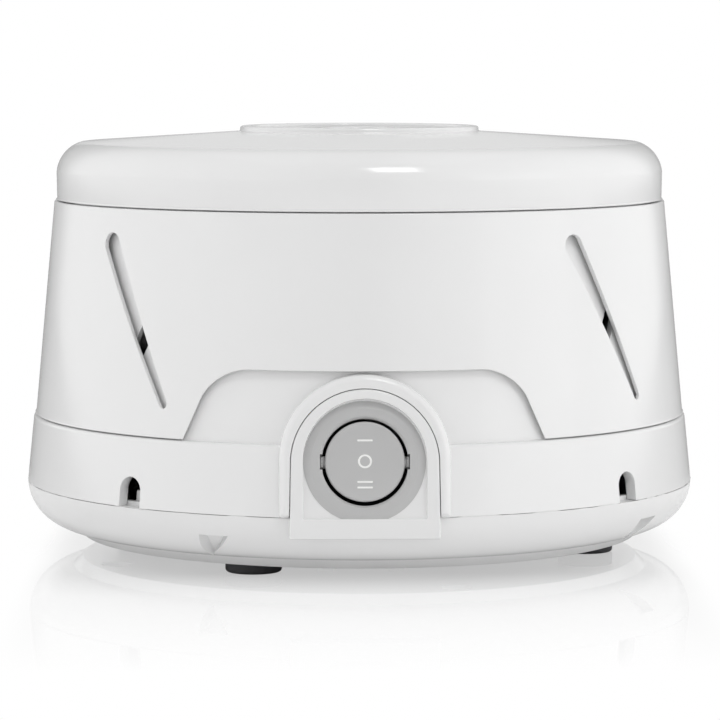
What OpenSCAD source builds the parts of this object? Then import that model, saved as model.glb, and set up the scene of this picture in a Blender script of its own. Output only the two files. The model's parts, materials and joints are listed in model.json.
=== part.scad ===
// White noise sound machine: an electric fan turns inside a slotted acoustic housing.
// The cap and the collar turn by hand over the housing and open or close its sound holes.
// Millimetres. +Z is up, the origin is on the floor under the middle, the switch faces -Y.
// An angle round the body is counted from the front (-Y) towards +X.

/* [Body] */
// Widest diameter, at the seam above the bottom pan
base_d = 146; // [140:1:160]
// Lean of the side walls from upright, in degrees
wall_lean = 6.2; // [5:0.2:8]
// Height of the bottom pan from its flat underside to its seam
pan_h = 11.9; // [11:0.1:14]
// Height of the fixed band above the pan
band_h = 14.4; // [13.4:0.2:18]
// Height of the turning collar with its seams
collar_h = 46.8; // [46:0.2:56]
// Height of the cap from its lower edge to the crease round its top
cap_side_h = 12.3; // [11:0.1:15]
// Rise of the cap's shallow cone from the crease to the ring
crown_rise = 2.3; // [1.8:0.1:3.5]
// Gap at each seam that a turning piece runs in
seam_gap = 0.3; // [0.3:0.05:0.6]

/* [Walls] */
// Wall of the bottom pan
pan_t = 2.4; // [2:0.1:3]
// Wall of the fixed band
band_t = 2.6; // [2.2:0.1:3]
// Wall of the collar
collar_t = 1.6; // [1.4:0.1:2.4]
// Wall of the acoustic housing
housing_t = 1.5; // [1.3:0.1:2.4]
// Wall of the cap
cap_t = 2; // [1.6:0.1:2.6]
// How far the collar stands proud of the band
proud = 0.3; // [0:0.05:0.6]
// How far the cap stands proud of the band's cone
cap_proud = 0.5; // [0.3:0.05:0.8]
// How far the pan's rim stands inside the band
pan_inset = 0.2; // [0:0.05:0.4]
// Radial gap between the collar and the housing inside it
collar_gap = 0.6; // [0.5:0.05:1]
// Height of the chamfered step under the pan
plinth_h = 2.1; // [1.5:0.1:3]

/* [Cap] */
// Radius of the rounded shoulder
shoulder_r = 7.5; // [6.5:0.1:8.5]
// Outer diameter of the raised ring
ring_d = 52.2; // [48:0.2:56]
// Height of the ring above the cone
ring_h = 1.2; // [0.8:0.1:2]
// Wall of the ring and of the well inside it
ring_t = 2.2; // [1.8:0.1:3]
// Thickness of the well's floor
well_t = 1.5; // [1.2:0.1:2]
// Gap between the well's floor and the deck under it
vent_gap = 0.6; // [0.4:0.1:1]
// Outer diameter of the cap's hub
hub_d = 16; // [15:0.5:18]
// Diameter of the pivot boss that the cap turns on
pivot_d = 10; // [8:0.5:11]
// Radial running clearance of the cap on its pivot
pivot_fit = 0.05; // [0.02:0.01:0.1]
// Number of vent openings in the well
vent_count = 6; // [4:1:8]
// How far the cap turns each way, in degrees
cap_travel = 15; // [8:1:15]

/* [Sound slots] */
// How far the slots spread from the diagonals, away from the front and back, in degrees
slot_spread = 0.3; // [0:0.1:3]
// Height of the middle of the collar's slots
slot_z = 52; // [50:0.2:55]
// Height that a collar slot spans
slot_h = 35.1; // [24:0.1:36]
// Slope of the slots from upright, in degrees
slot_slope = 29; // [15:1:32]
// Width of a collar slot at its round top
slot_top_w = 4.7; // [2:0.1:5]
// Width of a collar slot at its bottom
slot_low_w = 1.8; // [0.8:0.1:3]
// Width of a housing slot
inner_slot_w = 3.6; // [2:0.1:4]
// Turn of the collar's slots from the diagonals, in degrees
slot_turn = 2.3; // [-4:0.1:6]
// Turn of the housing's slots from the diagonals, in degrees
inner_slot_turn = 4.6; // [-4:0.1:6]

/* [Collar cut-out] */
// Half width of the cut-out at its foot
cutout_half_w = 37; // [35:0.5:42]
// Radius of its upper corners
cutout_corner_r = 10.5; // [8:0.5:12]
// Half width of its straight top
cutout_top_half_w = 23.6; // [22:0.2:25]
// How far the collar turns each way, in degrees
collar_travel = 16; // [8:1:16]

/* [Windows and notches] */
// Width of an arched window at the foot of the band
window_w = 5.7; // [4:0.1:7]
// Height of a window
window_h = 6.2; // [5.5:0.1:8]
// Turn of the windows from the diagonals, in degrees
window_turn = 3.9; // [-5:0.1:8]
// How far the windows spread from the diagonals, away from the front and back, in degrees
window_spread = 0.4; // [0:0.1:3]
// Width of a notch in the pan's curve
notch_w = 6.9; // [4:0.1:9]
// Depth of a notch
notch_depth = 1.7; // [1:0.1:1.9]

/* [Switch] */
// Height of the switch centre above the pan's seam
switch_rise = 11.7; // [11.5:0.1:13]
// How far the flat front stands proud of the band
front_proud = 0.3; // [0.2:0.05:0.8]
// Half width of the flat boss round the switch
boss_r = 17.3; // [16.8:0.1:18.5]
// Half width of the pan's tongue at its arched top
tongue_r = 14.95; // [14.6:0.05:15.4]
// Half width of the tongue at its foot
tongue_foot_w = 15.2; // [14.8:0.05:15.8]
// Thickness of the tongue
tongue_t = 3.2; // [3:0.1:4]
// How far the tongue reaches below the pan's seam
tongue_foot = 4.1; // [3:0.1:6]
// Half width of the pocket in the tongue
pocket_r = 12.45; // [12.4:0.05:13]
// Extra backward lean of the pocket's floor, in degrees
pocket_lean = 3.7; // [2:0.1:4.5]
// Diameter of the switch's flange
flange_d = 24.6; // [23.5:0.1:24.7]
// How far the switch sits below the middle of its pocket
switch_drop = 0.4; // [0:0.05:0.5]
// Thickness of the flange
flange_t = 0.6; // [0.5:0.1:1]
// Diameter of the switch's barrel
barrel_d = 20; // [19.8:0.1:21]
// Length of the barrel behind the flange
barrel_l = 18; // [17:0.5:20]
// Diameter of the rocker's round face
rocker_d = 16.1; // [15.4:0.1:16.4]
// Gap round the rocker
rocker_gap = 0.7; // [0.5:0.05:0.9]
// How far the rocker tilts each way, in degrees
rocker_tilt = 8; // [5:1:9]
// Radius of the rocker's trunnions
trunnion_r = 1.25; // [1:0.05:1.5]
// Radial running clearance of the trunnions
trunnion_fit = 0.05; // [0.02:0.01:0.1]

/* [Feet and screws] */
// Diameter of a rubber foot
foot_d = 11.8; // [10:0.2:14]
// Height of a foot under the pan
foot_h = 2.6; // [2:0.1:5]
// Distance of a foot's centre from the edge of the flat underside
foot_inset = 9; // [8:0.1:12]
// Distance of a case screw from the edge of the flat underside
screw_inset = 4.8; // [4.6:0.1:6]
// Shank diameter of the case screws
screw_d = 2.6; // [2:0.1:3]
// Head diameter of the case screws
screw_head_d = 5.8; // [5:0.1:6.2]

/* [Motor] */
// Width of the stator's laminations
stack_w = 48; // [46:1:56]
// Thickness of the stack of laminations
stack_t = 19; // [15:1:21]
// Diameter of the rotor's bore through the stack
stator_bore = 26.6; // [24:0.2:27]
// Air gap between the rotor and the bore
air_gap = 0.4; // [0.3:0.05:0.6]
// Diameter of the shaft
shaft_d = 5; // [4:0.1:6]
// Radial running clearance of the shaft in its bushes
shaft_fit = 0.05; // [0.02:0.01:0.1]
// Length of a bearing bush
bush_l = 8; // [6:0.5:9]
// Outer diameter of a bearing bush
bush_d = 10; // [9:0.5:12]
// Thickness of the winding on the bobbin
winding_t = 7; // [4:0.5:7]
// Radius of the circle of the three rubber mounts
mount_r = 40; // [38:0.5:43]
// Thickness of the steel motor plate
plate_t = 1.5; // [1:0.1:2]
// Height of the pan's posts under the rubber mounts
post_h = 7; // [6:0.5:8]
// Diameter of the motor's through screws
bolt_d = 4; // [3:0.1:4.4]

/* [Fan] */
// Diameter of the fan wheel
fan_d = 104; // [96:1:108]
// Height of its blades
blade_h = 15; // [12:0.5:16]
// Thickness of a blade
blade_t = 1.6; // [1.2:0.1:2.2]

/* [Cord inlet] */
// Diameter of the hole through the inlet bush
inlet_d = 6.4; // [5:0.1:7]
// Diameter of the bush in the wall
bush_body_d = 10; // [9.4:0.1:11]
// Height of the inlet above the pan's seam
inlet_rise = 7; // [7:0.1:8]

/* [Hidden] */

$fn = 96;
tiny = 0.01;

// Colours of the pieces
shell_white = "#eceae6";
switch_grey = "#b4b4b2";
rubber_dark = "#3c3c3d";
nylon_natural = "#dedace";
nylon_black = "#2a2b2d";
steel_zinc = "#b9bcc0";
lamination_grey = "#6e7175";
cast_zinc = "#9fa1a3";
copper_red = "#b0683c";
bronze = "#9a7544";
tape_yellow = "#d8b74e";
cast_aluminium = "#c2c4c6";

// Levels of the case
z_under = foot_h;
z_seam = z_under + pan_h;
z_ledge = z_seam + band_h;
z_lid = z_ledge + collar_h;
z_crease = z_lid + cap_side_h;
z_crown = z_crease + crown_rise;
z_top = z_crown + ring_h;
lean = tan(wall_lean);

// Radius of the band's cone at height z, and of the walls that follow it
function wall_r(z) = base_d / 2 - (z - z_seam) * lean;
function collar_out_r(z) = wall_r(z) + proud;
function cap_out_r(z) = wall_r(z) + cap_proud;
function collar_in_r(z) = collar_out_r(z) - collar_t;
function housing_out_r(z) = collar_in_r(z) - collar_gap;
function housing_in_r(z) = housing_out_r(z) - housing_t;

// Points of an arc in the plane of a profile, from angle a to angle b
function arc(cx, cz, r, a, b, n = 8) =
    [for (i = [0:n]) [cx + r * cos(a + (b - a) * i / n), cz + r * sin(a + (b - a) * i / n)]];

// Pan
pan_round = pan_h - plinth_h;
pan_arc_r = base_d / 2 - pan_inset - pan_round;
floor_edge_r = pan_arc_r - plinth_h;
floor_z = z_under + pan_t;
lip_t = 1.8;
lip_gap = 0.15;
lip_h = 0.9;
lip_rebate = 0.4;
lip_out_r = base_d / 2 - band_t - lip_gap;
foot_angles = [-26, 69.3, 154, 249.3];
foot_place_r = floor_edge_r - foot_inset;
foot_stem_r = 2.4;
foot_edge = 0.6;
notch_angles = [-25.3, 57, 154.7, 237];
notch_top = 3;
notch_tip = -5.6;
notch_skew = -4.1;

// Case screws: wells in the pan, posts in the housing
screw_angles = [20, 110, 200, 290];
screw_place_r = floor_edge_r - screw_inset;
well_r = 4.6;
well_top_z = floor_z + 3;
well_shelf_z = well_top_z - 2.2;
head_room = 0.3;
screw_head_h = 1.8;
post_r = 3.6;
screw_l = 13;
shank_room = 0.4;

// Windows and locating lugs
window_angles = [
    for (half = [0, 180])
        for (side = [-1, 1])
            half + side * (45 + window_spread) + window_turn
];
lug_h = 5;
lug_low_w = 3.45;
lug_top_w = 1.55;

// Flat front: a plane that leans like the wall, measured at the switch centre
switch_z = z_seam + switch_rise;
front_r = wall_r(switch_z) + front_proud;
boss_depth = 6.2;
boss_foot = 0.3;
tongue_drop = 0.7;
tongue_gap = 0.12;
tongue_low = (switch_rise + tongue_foot) / cos(wall_lean);
pocket_flat = 11.8;
pocket_mid = pocket_flat * tan(pocket_lean);

// Switch, measured from the pocket's floor
rocker_face = 0.55;
rocker_lift = 0.1;
rocker_dish_r = 36;
pivot_w = -2.8;
barrel_gap = 0.05;
barrel_wall = 0.8;
rocker_hole_r = rocker_d / 2 + rocker_gap;
rocker_flat = rocker_d / 2 + 0.5;
lug_half = 1;
lug_room = 0.55;
lug_reach = rocker_d / 2 + 0.85;
plunger_r = 1.8;
plunger_top_w = -5;
plunger_end_w = -8.4;
bar_top_w = -10.6;
bar_t = 0.6;
bar_l = 12.6;
bar_w = 3.2;
bead_r = 0.35;
contact_pitch = 5.7;
contact_w = -11.9;
blade_w = 4.8;
tab_t = 0.8;
tab_end_w = -27;
switch_base_t = 2.5;
connector_l = 7.5;
connector_end_w = tab_end_w - 1.2;

// Housing deck, cap well and pivot
well_out_r = ring_d / 2 - ring_t + 0.8;
ring_in_r = ring_d / 2 - ring_t;
well_depth = 4.6;
well_floor_z = z_crown - 3.6;
well_under_z = well_floor_z - well_t;
deck_z = well_under_z - vent_gap;
deck_t = 2.2;
deck_under_z = deck_z - deck_t;
deck_round = 3;
vent_in_r = hub_d / 2 + 1.4;
vent_out_r = ring_in_r - 1.8;
vent_span = 180 / vent_count;
pivot_top_z = well_floor_z + 1.3;
hub_shelf_z = pivot_top_z - seam_gap;
hub_top_z = z_top - 0.4;
washer_r = hub_d / 2 - 1.8;
washer_t = 0.8;
cap_screw_r = 1.5;
cap_screw_head_r = 4;
stop_place_r = 50;
stop_w = 4;
stop_span = stop_w / stop_place_r * 180 / PI;
rail_h = 2.4;
rail_gap = 0.3;

// Cap shoulder: an arc from the wall's lean to the crease
crease_turn = 72;
shoulder_cz = z_crease - shoulder_r * sin(crease_turn);
shoulder_start_z = shoulder_cz + shoulder_r * sin(wall_lean);
shoulder_cx = cap_out_r(shoulder_start_z) - shoulder_r * cos(wall_lean);
crown_under = cap_t;

// Levels of the motor and the fan: the plate rests on its mounts, the fan hangs under the deck,
// and the spacers take what is left between the plate and the motor
mount_angles = [60, 180, 300];
mount_post_r = 5;
post_z = floor_z + post_h;
rubber_flange_t = 2;
plate_z = post_z + rubber_flange_t;
plate_top_z = plate_z + plate_t;
rubber_top_z = plate_top_z + rubber_flange_t;
fan_room = 3.9;
fan_disc_t = 1.5;
coil_room = 2.6;
bobbin_wall = 1;
tape_t = 0.4;
fan_top_z = deck_under_z - fan_room;
fan_disc_z = fan_top_z - fan_disc_t;
fan_bottom_z = fan_disc_z - blade_h;
stack_top_z = fan_bottom_z - coil_room - tape_t - winding_t - bobbin_wall;
stack_z = stack_top_z - stack_t;
stack_mid_z = stack_z + stack_t / 2;
bracket_foot_h = 8;
bracket_z = stack_z - bracket_foot_h;
spacer_h = bracket_z - plate_top_z;
spacer_r = 3.6;
foot_r = 6;
bar_h = 3;
end_ring_h = 3;
end_ring_in_r = 7;
bolt_x = (stator_bore / 2 + stack_w / 2) / 2 + 0.15;
bolt_head_r = 3.8;
bolt_head_h = 2;
bolt_end = 5;
nut_r = 4;
nut_h = 3.2;
cup_wall = 3;
cup_floor = 1.5;
cup_room = 1.2;
cup_r = bush_d / 2 + cup_wall;
lower_bush_z = bracket_z + bar_h - bush_l - 0.5;
upper_bush_z = stack_top_z + bracket_foot_h - bar_h + 0.5;
cup_top_z = upper_bush_z + bush_l + 1;
shaft_room = 0.6;
washer_gap = 0.3;
thrust_t = 0.9;
thrust_r = 4.5;
shoulder_shaft_r = 4.2;
post_bore_r = 1.6;
mount_bite = 6;
mount_shank_r = 2.9;
mount_groove_r = 4;
mount_flange_r = 6.5;
mount_head_r = 5.4;
mount_head_h = 1.6;
plate_r = 30;
ear_r = 8;

// Coil round the bar at the back of the stack
yoke_y = 27.5;
yoke_w = 10.5;
window_y = 17.5;
stack_front_y = 20;
leg_x = 13.5;
flange_wall = 1.2;
coil_back_y = yoke_y + yoke_w + bobbin_wall + winding_t + tape_t;
shade_r = 16.4;
shade_w = 1.8;
shade_angles = [22, 48];

// Fan
fan_hub_r = 6;
fan_hub_z = cup_top_z + 1.2;
fan_ring_t = 1.8;
fan_ring_h = 2.4;
fan_edge = 0.5;
blade_in_r = 27;
blade_curve_r = 30;
blade_angles = [0, 36, 79, 118, 161, 197, 241, 283, 322];
clip_t = 0.8;
clip_r = 4.6;
shaft_top_z = fan_top_z + clip_t + 0.4;
shaft_low_z = lower_bush_z + 0.3;

// Thermal fuse behind the coil
fuse_r = 2;
fuse_l = 12;
fuse_y = coil_back_y + fuse_r;
fuse_z = stack_mid_z + 8.5;
fuse_wire_r = 0.5;
fuse_wire_x = 9;

// Cord inlet
inlet_z = z_seam + inlet_rise;
inlet_face_y = base_d / 2 - 0.5;
inlet_pad_r = inlet_rise - 0.2;
inlet_flange_r = 6.4;
inlet_flange_t = 1.3;
inlet_pad_t = band_t + 1;
bush_barb = 0.6;
bush_barb_l = 2;
inlet_inner_y = inlet_face_y - inlet_pad_t - 0.05;

// Crimp caps on the pan's floor, behind the motor's rear post
crimp_r = 2.8;
crimp_l = 9;
crimp_tip = 1.6;
crimp_tip_r = 1.4;
crimp_x = 9;
crimp_y = floor_edge_r - 12.4;
crimp_z = floor_z + crimp_r;

// Routes of the insulated leads, chosen points. Low ones run between the motor's posts and the wells of the
// case screws, high ones beside the stack
lead_d = 2.2;
low_side_r = (mount_r + mount_post_r + screw_place_r - well_r) / 2;
high_side_x = stack_w / 2 + 10.5;
coil_low_z = stack_mid_z - 3.5;
coil_high_z = stack_mid_z - 6.5;
function low_side(a, z) = [low_side_r * sin(a), -low_side_r * cos(a), z];
function behind_switch(x, y, w) =
    let (a = y - switch_drop, b = a * cos(pocket_lean) + w * sin(pocket_lean),
        c = w * cos(pocket_lean) - a * sin(pocket_lean) - pocket_mid)
    [
        x,
        b * sin(wall_lean) - c * cos(wall_lean) - front_r,
        b * cos(wall_lean) + c * sin(wall_lean) + switch_z
    ];
lead_start_w = connector_end_w - 0.3;
low_route = [
    behind_switch(0, contact_pitch, lead_start_w), behind_switch(0, contact_pitch, lead_start_w - 1.5),
    behind_switch(2, contact_pitch, lead_start_w - 4), [13, -36.5, 24],
    [26, -30, 22.4], [high_side_x - 1, -13, 22],
    [high_side_x, 2, 22], [high_side_x - 1.5, 18, 22.6], [27, 36, 26],
    [19, coil_back_y + 0.1, coil_low_z - 7],
    [12, coil_back_y + 3.6, coil_low_z - 3], [7.5, coil_back_y + 3.4, coil_low_z - 0.4],
    [6, coil_back_y + 1.8, coil_low_z], [6, coil_back_y + 0.4, coil_low_z]
];
high_route = [
    behind_switch(0, -contact_pitch, lead_start_w), behind_switch(0, -contact_pitch, lead_start_w - 1.5),
    behind_switch(-2, -contact_pitch, lead_start_w - 4), [-14, -37.5, 17],
    [-26, -30.5, 20.8], [1 - high_side_x, -13, 22],
    [-high_side_x, 2, 22], [1.5 - high_side_x, 18, 22.6], [-27, 36, 25],
    [-19, coil_back_y + 0.1, coil_high_z - 6],
    [-12, coil_back_y + 3.6, coil_high_z - 3], [-7.5, coil_back_y + 3.4, coil_high_z - 0.4],
    [-6, coil_back_y + 1.8, coil_high_z], [-6, coil_back_y + 0.4, coil_high_z]
];
line_route = [
    behind_switch(0, 0, lead_start_w), behind_switch(0, 0, lead_start_w - 1.5),
    behind_switch(2, -1, lead_start_w - 4), [17, -37.5, 13],
    low_side(46, 9.5), low_side(75, 9.5), low_side(98, 9.5),
    low_side(124, 9.2), low_side(147, 8.6),
    [crimp_x + 4, crimp_y - 5.5, 8], [crimp_x, crimp_y - 2.5, crimp_z],
    [crimp_x, crimp_y + 0.5, crimp_z]
];
neutral_route = [
    [-fuse_l / 2 - 0.3, fuse_y, fuse_z], [-9.5, fuse_y, fuse_z - 0.4], [-13, fuse_y + 3, fuse_z - 5],
    [-14, fuse_y + 6, fuse_z - 14], [-14, fuse_y + 4, 22], [-12.6, crimp_y - 1, 12.4],
    [-10.6, crimp_y - 4.1, 8.6], [-crimp_x, crimp_y - 2.5, crimp_z], [-crimp_x, crimp_y + 0.5, crimp_z]
];

// A tube swept along a smooth curve through the route's points
function mix(p, k, t) =
    let (a = p[max(k - 1, 0)], b = p[k], c = p[k + 1], e = p[min(k + 2, len(p) - 1)])
    0.5 * (2 * b + (c - a) * t + (2 * a - 5 * b + 4 * c - e) * t * t + (3 * b - a - 3 * c + e) * t * t * t);
function smooth(p, n) =
    concat([for (k = [0:len(p) - 2]) for (i = [0:n - 1]) mix(p, k, i / n)], [p[len(p) - 1]]);
function unit(v) = v / norm(v);
function tangent(p, i) = unit(p[min(i + 1, len(p) - 1)] - p[max(i - 1, 0)]);
function sides(p, i = 0, last = [1, 0.02, 0.03]) =
    let (t = tangent(p, i), s = unit(last - (last * t) * t))
    i == len(p) - 1 ? [s] : concat([s], sides(p, i + 1, s));

module tube(p, d, n = 8) {
    u = sides(p);
    points = [
        for (i = [0:len(p) - 1])
        let (t = tangent(p, i), v = cross(t, u[i]))
        for (k = [0:n - 1])
        p[i] + d / 2 * (cos(k * 360 / n) * u[i] + sin(k * 360 / n) * v)
    ];
    rings = [
        for (i = [0:len(p) - 2]) for (k = [0:n - 1])
        [i * n + k, i * n + (k + 1) % n, (i + 1) * n + (k + 1) % n, (i + 1) * n + k]
    ];
    start = [for (k = [0:n - 1]) n - 1 - k];
    finish = [for (k = [0:n - 1]) (len(p) - 1) * n + k];
    polyhedron(points, concat(rings, [start], [finish]));
}

// Places: round the body, on the leaning front, and on the switch's pocket floor
module at_angle(a) {
    rotate([0, 0, a]) children();
}
module on_front() {
    translate([0, -front_r, switch_z]) rotate([90 - wall_lean, 0, 0]) children();
}
module on_pocket() {
    on_front() translate([0, 0, -pocket_mid]) rotate([-pocket_lean, 0, 0]) children();
}
module on_switch() {
    on_pocket() translate([0, -switch_drop, 0]) children();
}
module bar_x(r, a, b) {
    translate([a, 0, 0]) rotate([0, 90, 0]) cylinder(r = r, h = b - a);
}
module ring(r_out, r_in, h) {
    difference() {
        cylinder(r = r_out, h = h);
        translate([0, 0, -1]) cylinder(r = r_in, h = h + 2);
    }
}

// Flat outlines
module arch(r, centre, low, foot) {
    union() {
        intersection() {
            translate([0, centre]) circle(r = r);
            translate([-r, centre]) square([2 * r, r]);
        }
        polygon([[-r, centre], [-foot, low], [foot, low], [r, centre]]);
    }
}
module taper_slot(l, r1, r2) {
    n = asin((r1 - r2) / l);
    union() {
        translate([0, l / 2]) circle(r = r1);
        translate([0, -l / 2]) circle(r = r2);
        polygon([
            [r1 * cos(n), l / 2 + r1 * sin(n)], [-r1 * cos(n), l / 2 + r1 * sin(n)],
            [-r2 * cos(n), -l / 2 + r2 * sin(n)], [r2 * cos(n), -l / 2 + r2 * sin(n)]
        ]);
    }
}
module wedge(r_in, r_out, span) {
    difference() {
        intersection() {
            circle(r = r_out);
            polygon([
                [0, 0], [-2 * r_out * sin(span / 2), -2 * r_out * cos(span / 2)],
                [2 * r_out * sin(span / 2), -2 * r_out * cos(span / 2)]
            ]);
        }
        circle(r = r_in);
    }
}
module vents(height) {
    for (k = [0:vent_count - 1])
        at_angle(k * 360 / vent_count) linear_extrude(height) wedge(vent_in_r, vent_out_r, vent_span);
}
module slots(turn, slope, h, w_top, w_low) {
    l = (h - (w_top + w_low) / 2) / cos(slope);
    for (half = [0, 180]) for (side = [-1, 1])
        at_angle(half + side * (45 + slot_spread) + turn)
            translate([0, -base_d / 2 + 16, slot_z]) rotate([90, 0, 0])
                linear_extrude(20) rotate([0, 0, slope]) taper_slot(l, w_top / 2, w_low / 2);
}

// ---- cap ----
cap_profile = concat(
    [[cap_out_r(z_lid), z_lid]],
    arc(shoulder_cx, shoulder_cz, shoulder_r, wall_lean, crease_turn),
    [
        [ring_d / 2, z_crown], [ring_d / 2, z_top - 0.7], [ring_d / 2 - 0.7, z_top],
        [ring_in_r + 0.4, z_top], [ring_in_r, z_top - 0.4], [ring_in_r, well_floor_z],
        [hub_d / 2, well_floor_z], [hub_d / 2, hub_top_z - 0.4], [hub_d / 2 - 0.4, hub_top_z],
        [washer_r + 0.4, hub_top_z], [washer_r + 0.4, hub_shelf_z],
        [pivot_d / 2 + pivot_fit, hub_shelf_z], [pivot_d / 2 + pivot_fit, well_under_z],
        [ring_d / 2 - 0.5, well_under_z], [ring_d / 2 - 0.5, z_crown - crown_under]
    ],
    arc(shoulder_cx, shoulder_cz, shoulder_r - cap_t, crease_turn, wall_lean),
    [[cap_out_r(z_lid) - cap_t, z_lid]]
);
module top_cap() {
    color(shell_white)
    difference() {
        union() {
            rotate_extrude() polygon(cap_profile);
            for (side = [-1, 1]) at_angle(180 + side * (cap_travel + stop_span + 0.6))
                translate([-stop_w / 2, -stop_place_r - 2, deck_z + 0.5])
                    cube([stop_w, 4, z_crease - cap_t - deck_z + 1]);
        }
        at_angle(vent_span / 2) translate([0, 0, well_under_z - 1]) vents(well_t + 2);
    }
}
module cap_screw() {
    color(steel_zinc)
    union() {
        translate([0, 0, deck_under_z])
            cylinder(r = cap_screw_r, h = pivot_top_z + washer_t - deck_under_z + tiny);
        translate([0, 0, pivot_top_z + washer_t])
            rotate_extrude() polygon([
                [0, 0], [cap_screw_head_r, 0], [cap_screw_head_r, 0.8],
                [cap_screw_head_r - 1, 1.6], [0, 1.8]
            ]);
    }
}
module cap_washer() {
    color(steel_zinc)
    translate([0, 0, pivot_top_z]) ring(washer_r, cap_screw_r, washer_t);
}

// ---- collar ----
module cutout_outline() {
    top = switch_z + boss_r * cos(wall_lean) + 0.4 - z_ledge;
    cz = top - cutout_corner_r;
    reach = cutout_half_w - cutout_top_half_w;
    away = norm([reach, cz]);
    turn = acos(cutout_corner_r / away) - atan2(cz, reach);
    tx = cutout_top_half_w + cutout_corner_r * cos(turn);
    ty = cz + cutout_corner_r * sin(turn);
    union() {
        for (side = [-1, 1]) translate([side * cutout_top_half_w, cz]) circle(r = cutout_corner_r);
        polygon([
            [-cutout_half_w, -2], [-cutout_half_w, 0], [-tx, ty], [-cutout_top_half_w, top],
            [cutout_top_half_w, top], [tx, ty], [cutout_half_w, 0], [cutout_half_w, -2]
        ]);
    }
}
module side_collar() {
    low = z_ledge + seam_gap;
    high = z_lid - seam_gap;
    color(shell_white)
    difference() {
        rotate_extrude() polygon([
            [collar_out_r(low), low], [collar_out_r(high), high],
            [collar_in_r(high), high], [collar_in_r(low), low]
        ]);
        slots(slot_turn, slot_slope, slot_h, slot_top_w, slot_low_w);
        translate([0, -base_d / 4, z_ledge]) rotate([90, 0, 0]) linear_extrude(base_d / 2) cutout_outline();
    }
}

// ---- acoustic housing ----
rail_r = collar_in_r(z_ledge) - rail_gap;
top_rail_z = z_lid - 4;
housing_profile = [
    [base_d / 2, z_seam], [wall_r(z_ledge - 0.4), z_ledge - 0.4], [wall_r(z_ledge) - 0.4, z_ledge],
    [rail_r, z_ledge], [housing_out_r(z_ledge + rail_h), z_ledge + rail_h],
    [housing_out_r(top_rail_z), top_rail_z], [collar_in_r(top_rail_z + 0.4) - rail_gap, top_rail_z + 0.4],
    [collar_in_r(top_rail_z + 2) - rail_gap, top_rail_z + 2],
    [housing_out_r(top_rail_z + 2.4), top_rail_z + 2.4],
    [housing_out_r(deck_z - deck_round), deck_z - deck_round],
    [housing_out_r(deck_z - deck_round) - 0.3 * deck_round, deck_z - 0.3 * deck_round],
    [housing_out_r(deck_z - deck_round) - deck_round, deck_z],
    [pivot_d / 2, deck_z], [pivot_d / 2, pivot_top_z],
    [cap_screw_r, pivot_top_z], [cap_screw_r, deck_under_z],
    [housing_in_r(deck_under_z) - 1.5, deck_under_z],
    [housing_in_r(deck_under_z - 1.5), deck_under_z - 1.5],
    [housing_in_r(z_ledge), z_ledge], [housing_in_r(z_ledge), z_ledge - band_t],
    [wall_r(z_ledge - band_t) - band_t, z_ledge - band_t], [base_d / 2 - band_t, z_seam]
];
module housing_shell() {
    rotate_extrude() polygon(housing_profile);
    // Frame of the flat boss round the switch
    on_front() translate([0, 0, -boss_depth]) linear_extrude(boss_depth)
        arch(boss_r, 0, boss_foot - switch_rise / cos(wall_lean), boss_r);
    // Posts and ribs for the case screws
    for (a = screw_angles) at_angle(a) {
        translate([0, -screw_place_r, well_top_z]) cylinder(r = post_r, h = z_ledge - 4 - well_top_z);
        translate([-1, -wall_r(z_seam + 3) + band_t - 0.4, z_seam + 3])
            cube([2, wall_r(z_seam + 3) - band_t - screw_place_r, z_ledge - 4 - z_seam - 3]);
    }
    // Pad for the cord inlet and stop for the cap
    translate([0, inlet_face_y, inlet_z]) rotate([90, 0, 0]) cylinder(r = inlet_pad_r, h = inlet_pad_t);
    at_angle(180) translate([-stop_w / 2, -stop_place_r - 2, deck_z - 0.5]) cube([stop_w, 4, 1.9]);
}
module acoustic_housing() {
    color(shell_white)
    difference() {
        housing_shell();
        slots(inner_slot_turn, -slot_slope, slot_h, inner_slot_w, inner_slot_w);
        translate([0, 0, deck_under_z - 1]) vents(deck_t + 2);
        for (a = window_angles) at_angle(a)
            translate([0, -base_d / 2 + 6, z_seam]) rotate([90, 0, 0])
                linear_extrude(8) arch(window_w / 2, window_h - window_w / 2, -1, window_w / 2);
        on_front() translate([0, 0, -boss_depth - 2]) linear_extrude(boss_depth + 4)
            arch(tongue_r + tongue_gap, -tongue_drop, -tongue_low, tongue_foot_w + tongue_gap);
        for (a = screw_angles) at_angle(a)
            translate([0, -screw_place_r, well_top_z - 1]) cylinder(d = screw_d, h = screw_l);
        translate([0, base_d / 2 + 1, inlet_z]) rotate([90, 0, 0]) cylinder(d = bush_body_d, h = 9);
        translate([0, inlet_inner_y + 0.05, inlet_z]) rotate([90, 0, 0])
            cylinder(r = bush_body_d / 2 + bush_barb + 0.1, h = 5);
        // Flat face for the bush's flange
        translate([0, inlet_face_y, inlet_z]) rotate([-90, 0, 0]) cylinder(r = inlet_pad_r, h = 3);
        // Underside of the boss, level with the seam
        translate([-boss_r - 1, -base_d / 2 - 1, z_seam - 2]) cube([2 * boss_r + 2, boss_depth + 4, 2]);
        // Rebate that the pan's lip stands in
        translate([0, 0, z_seam - 1])
            ring(base_d / 2 - band_t + lip_rebate, lip_out_r - lip_t - lip_gap, 1 + lip_h + lip_gap);
    }
}
module cord_bush() {
    color(nylon_black)
    difference() {
        translate([0, inlet_face_y, inlet_z]) rotate([90, 0, 0]) union() {
            translate([0, 0, -inlet_flange_t]) cylinder(r = inlet_flange_r, h = inlet_flange_t);
            cylinder(d = bush_body_d, h = inlet_face_y - inlet_inner_y + bush_barb_l);
            translate([0, 0, inlet_face_y - inlet_inner_y])
                cylinder(r = bush_body_d / 2 + bush_barb, h = bush_barb_l);
        }
        translate([0, base_d / 2 + 3, inlet_z]) rotate([90, 0, 0]) cylinder(d = inlet_d, h = 16);
    }
}

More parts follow.
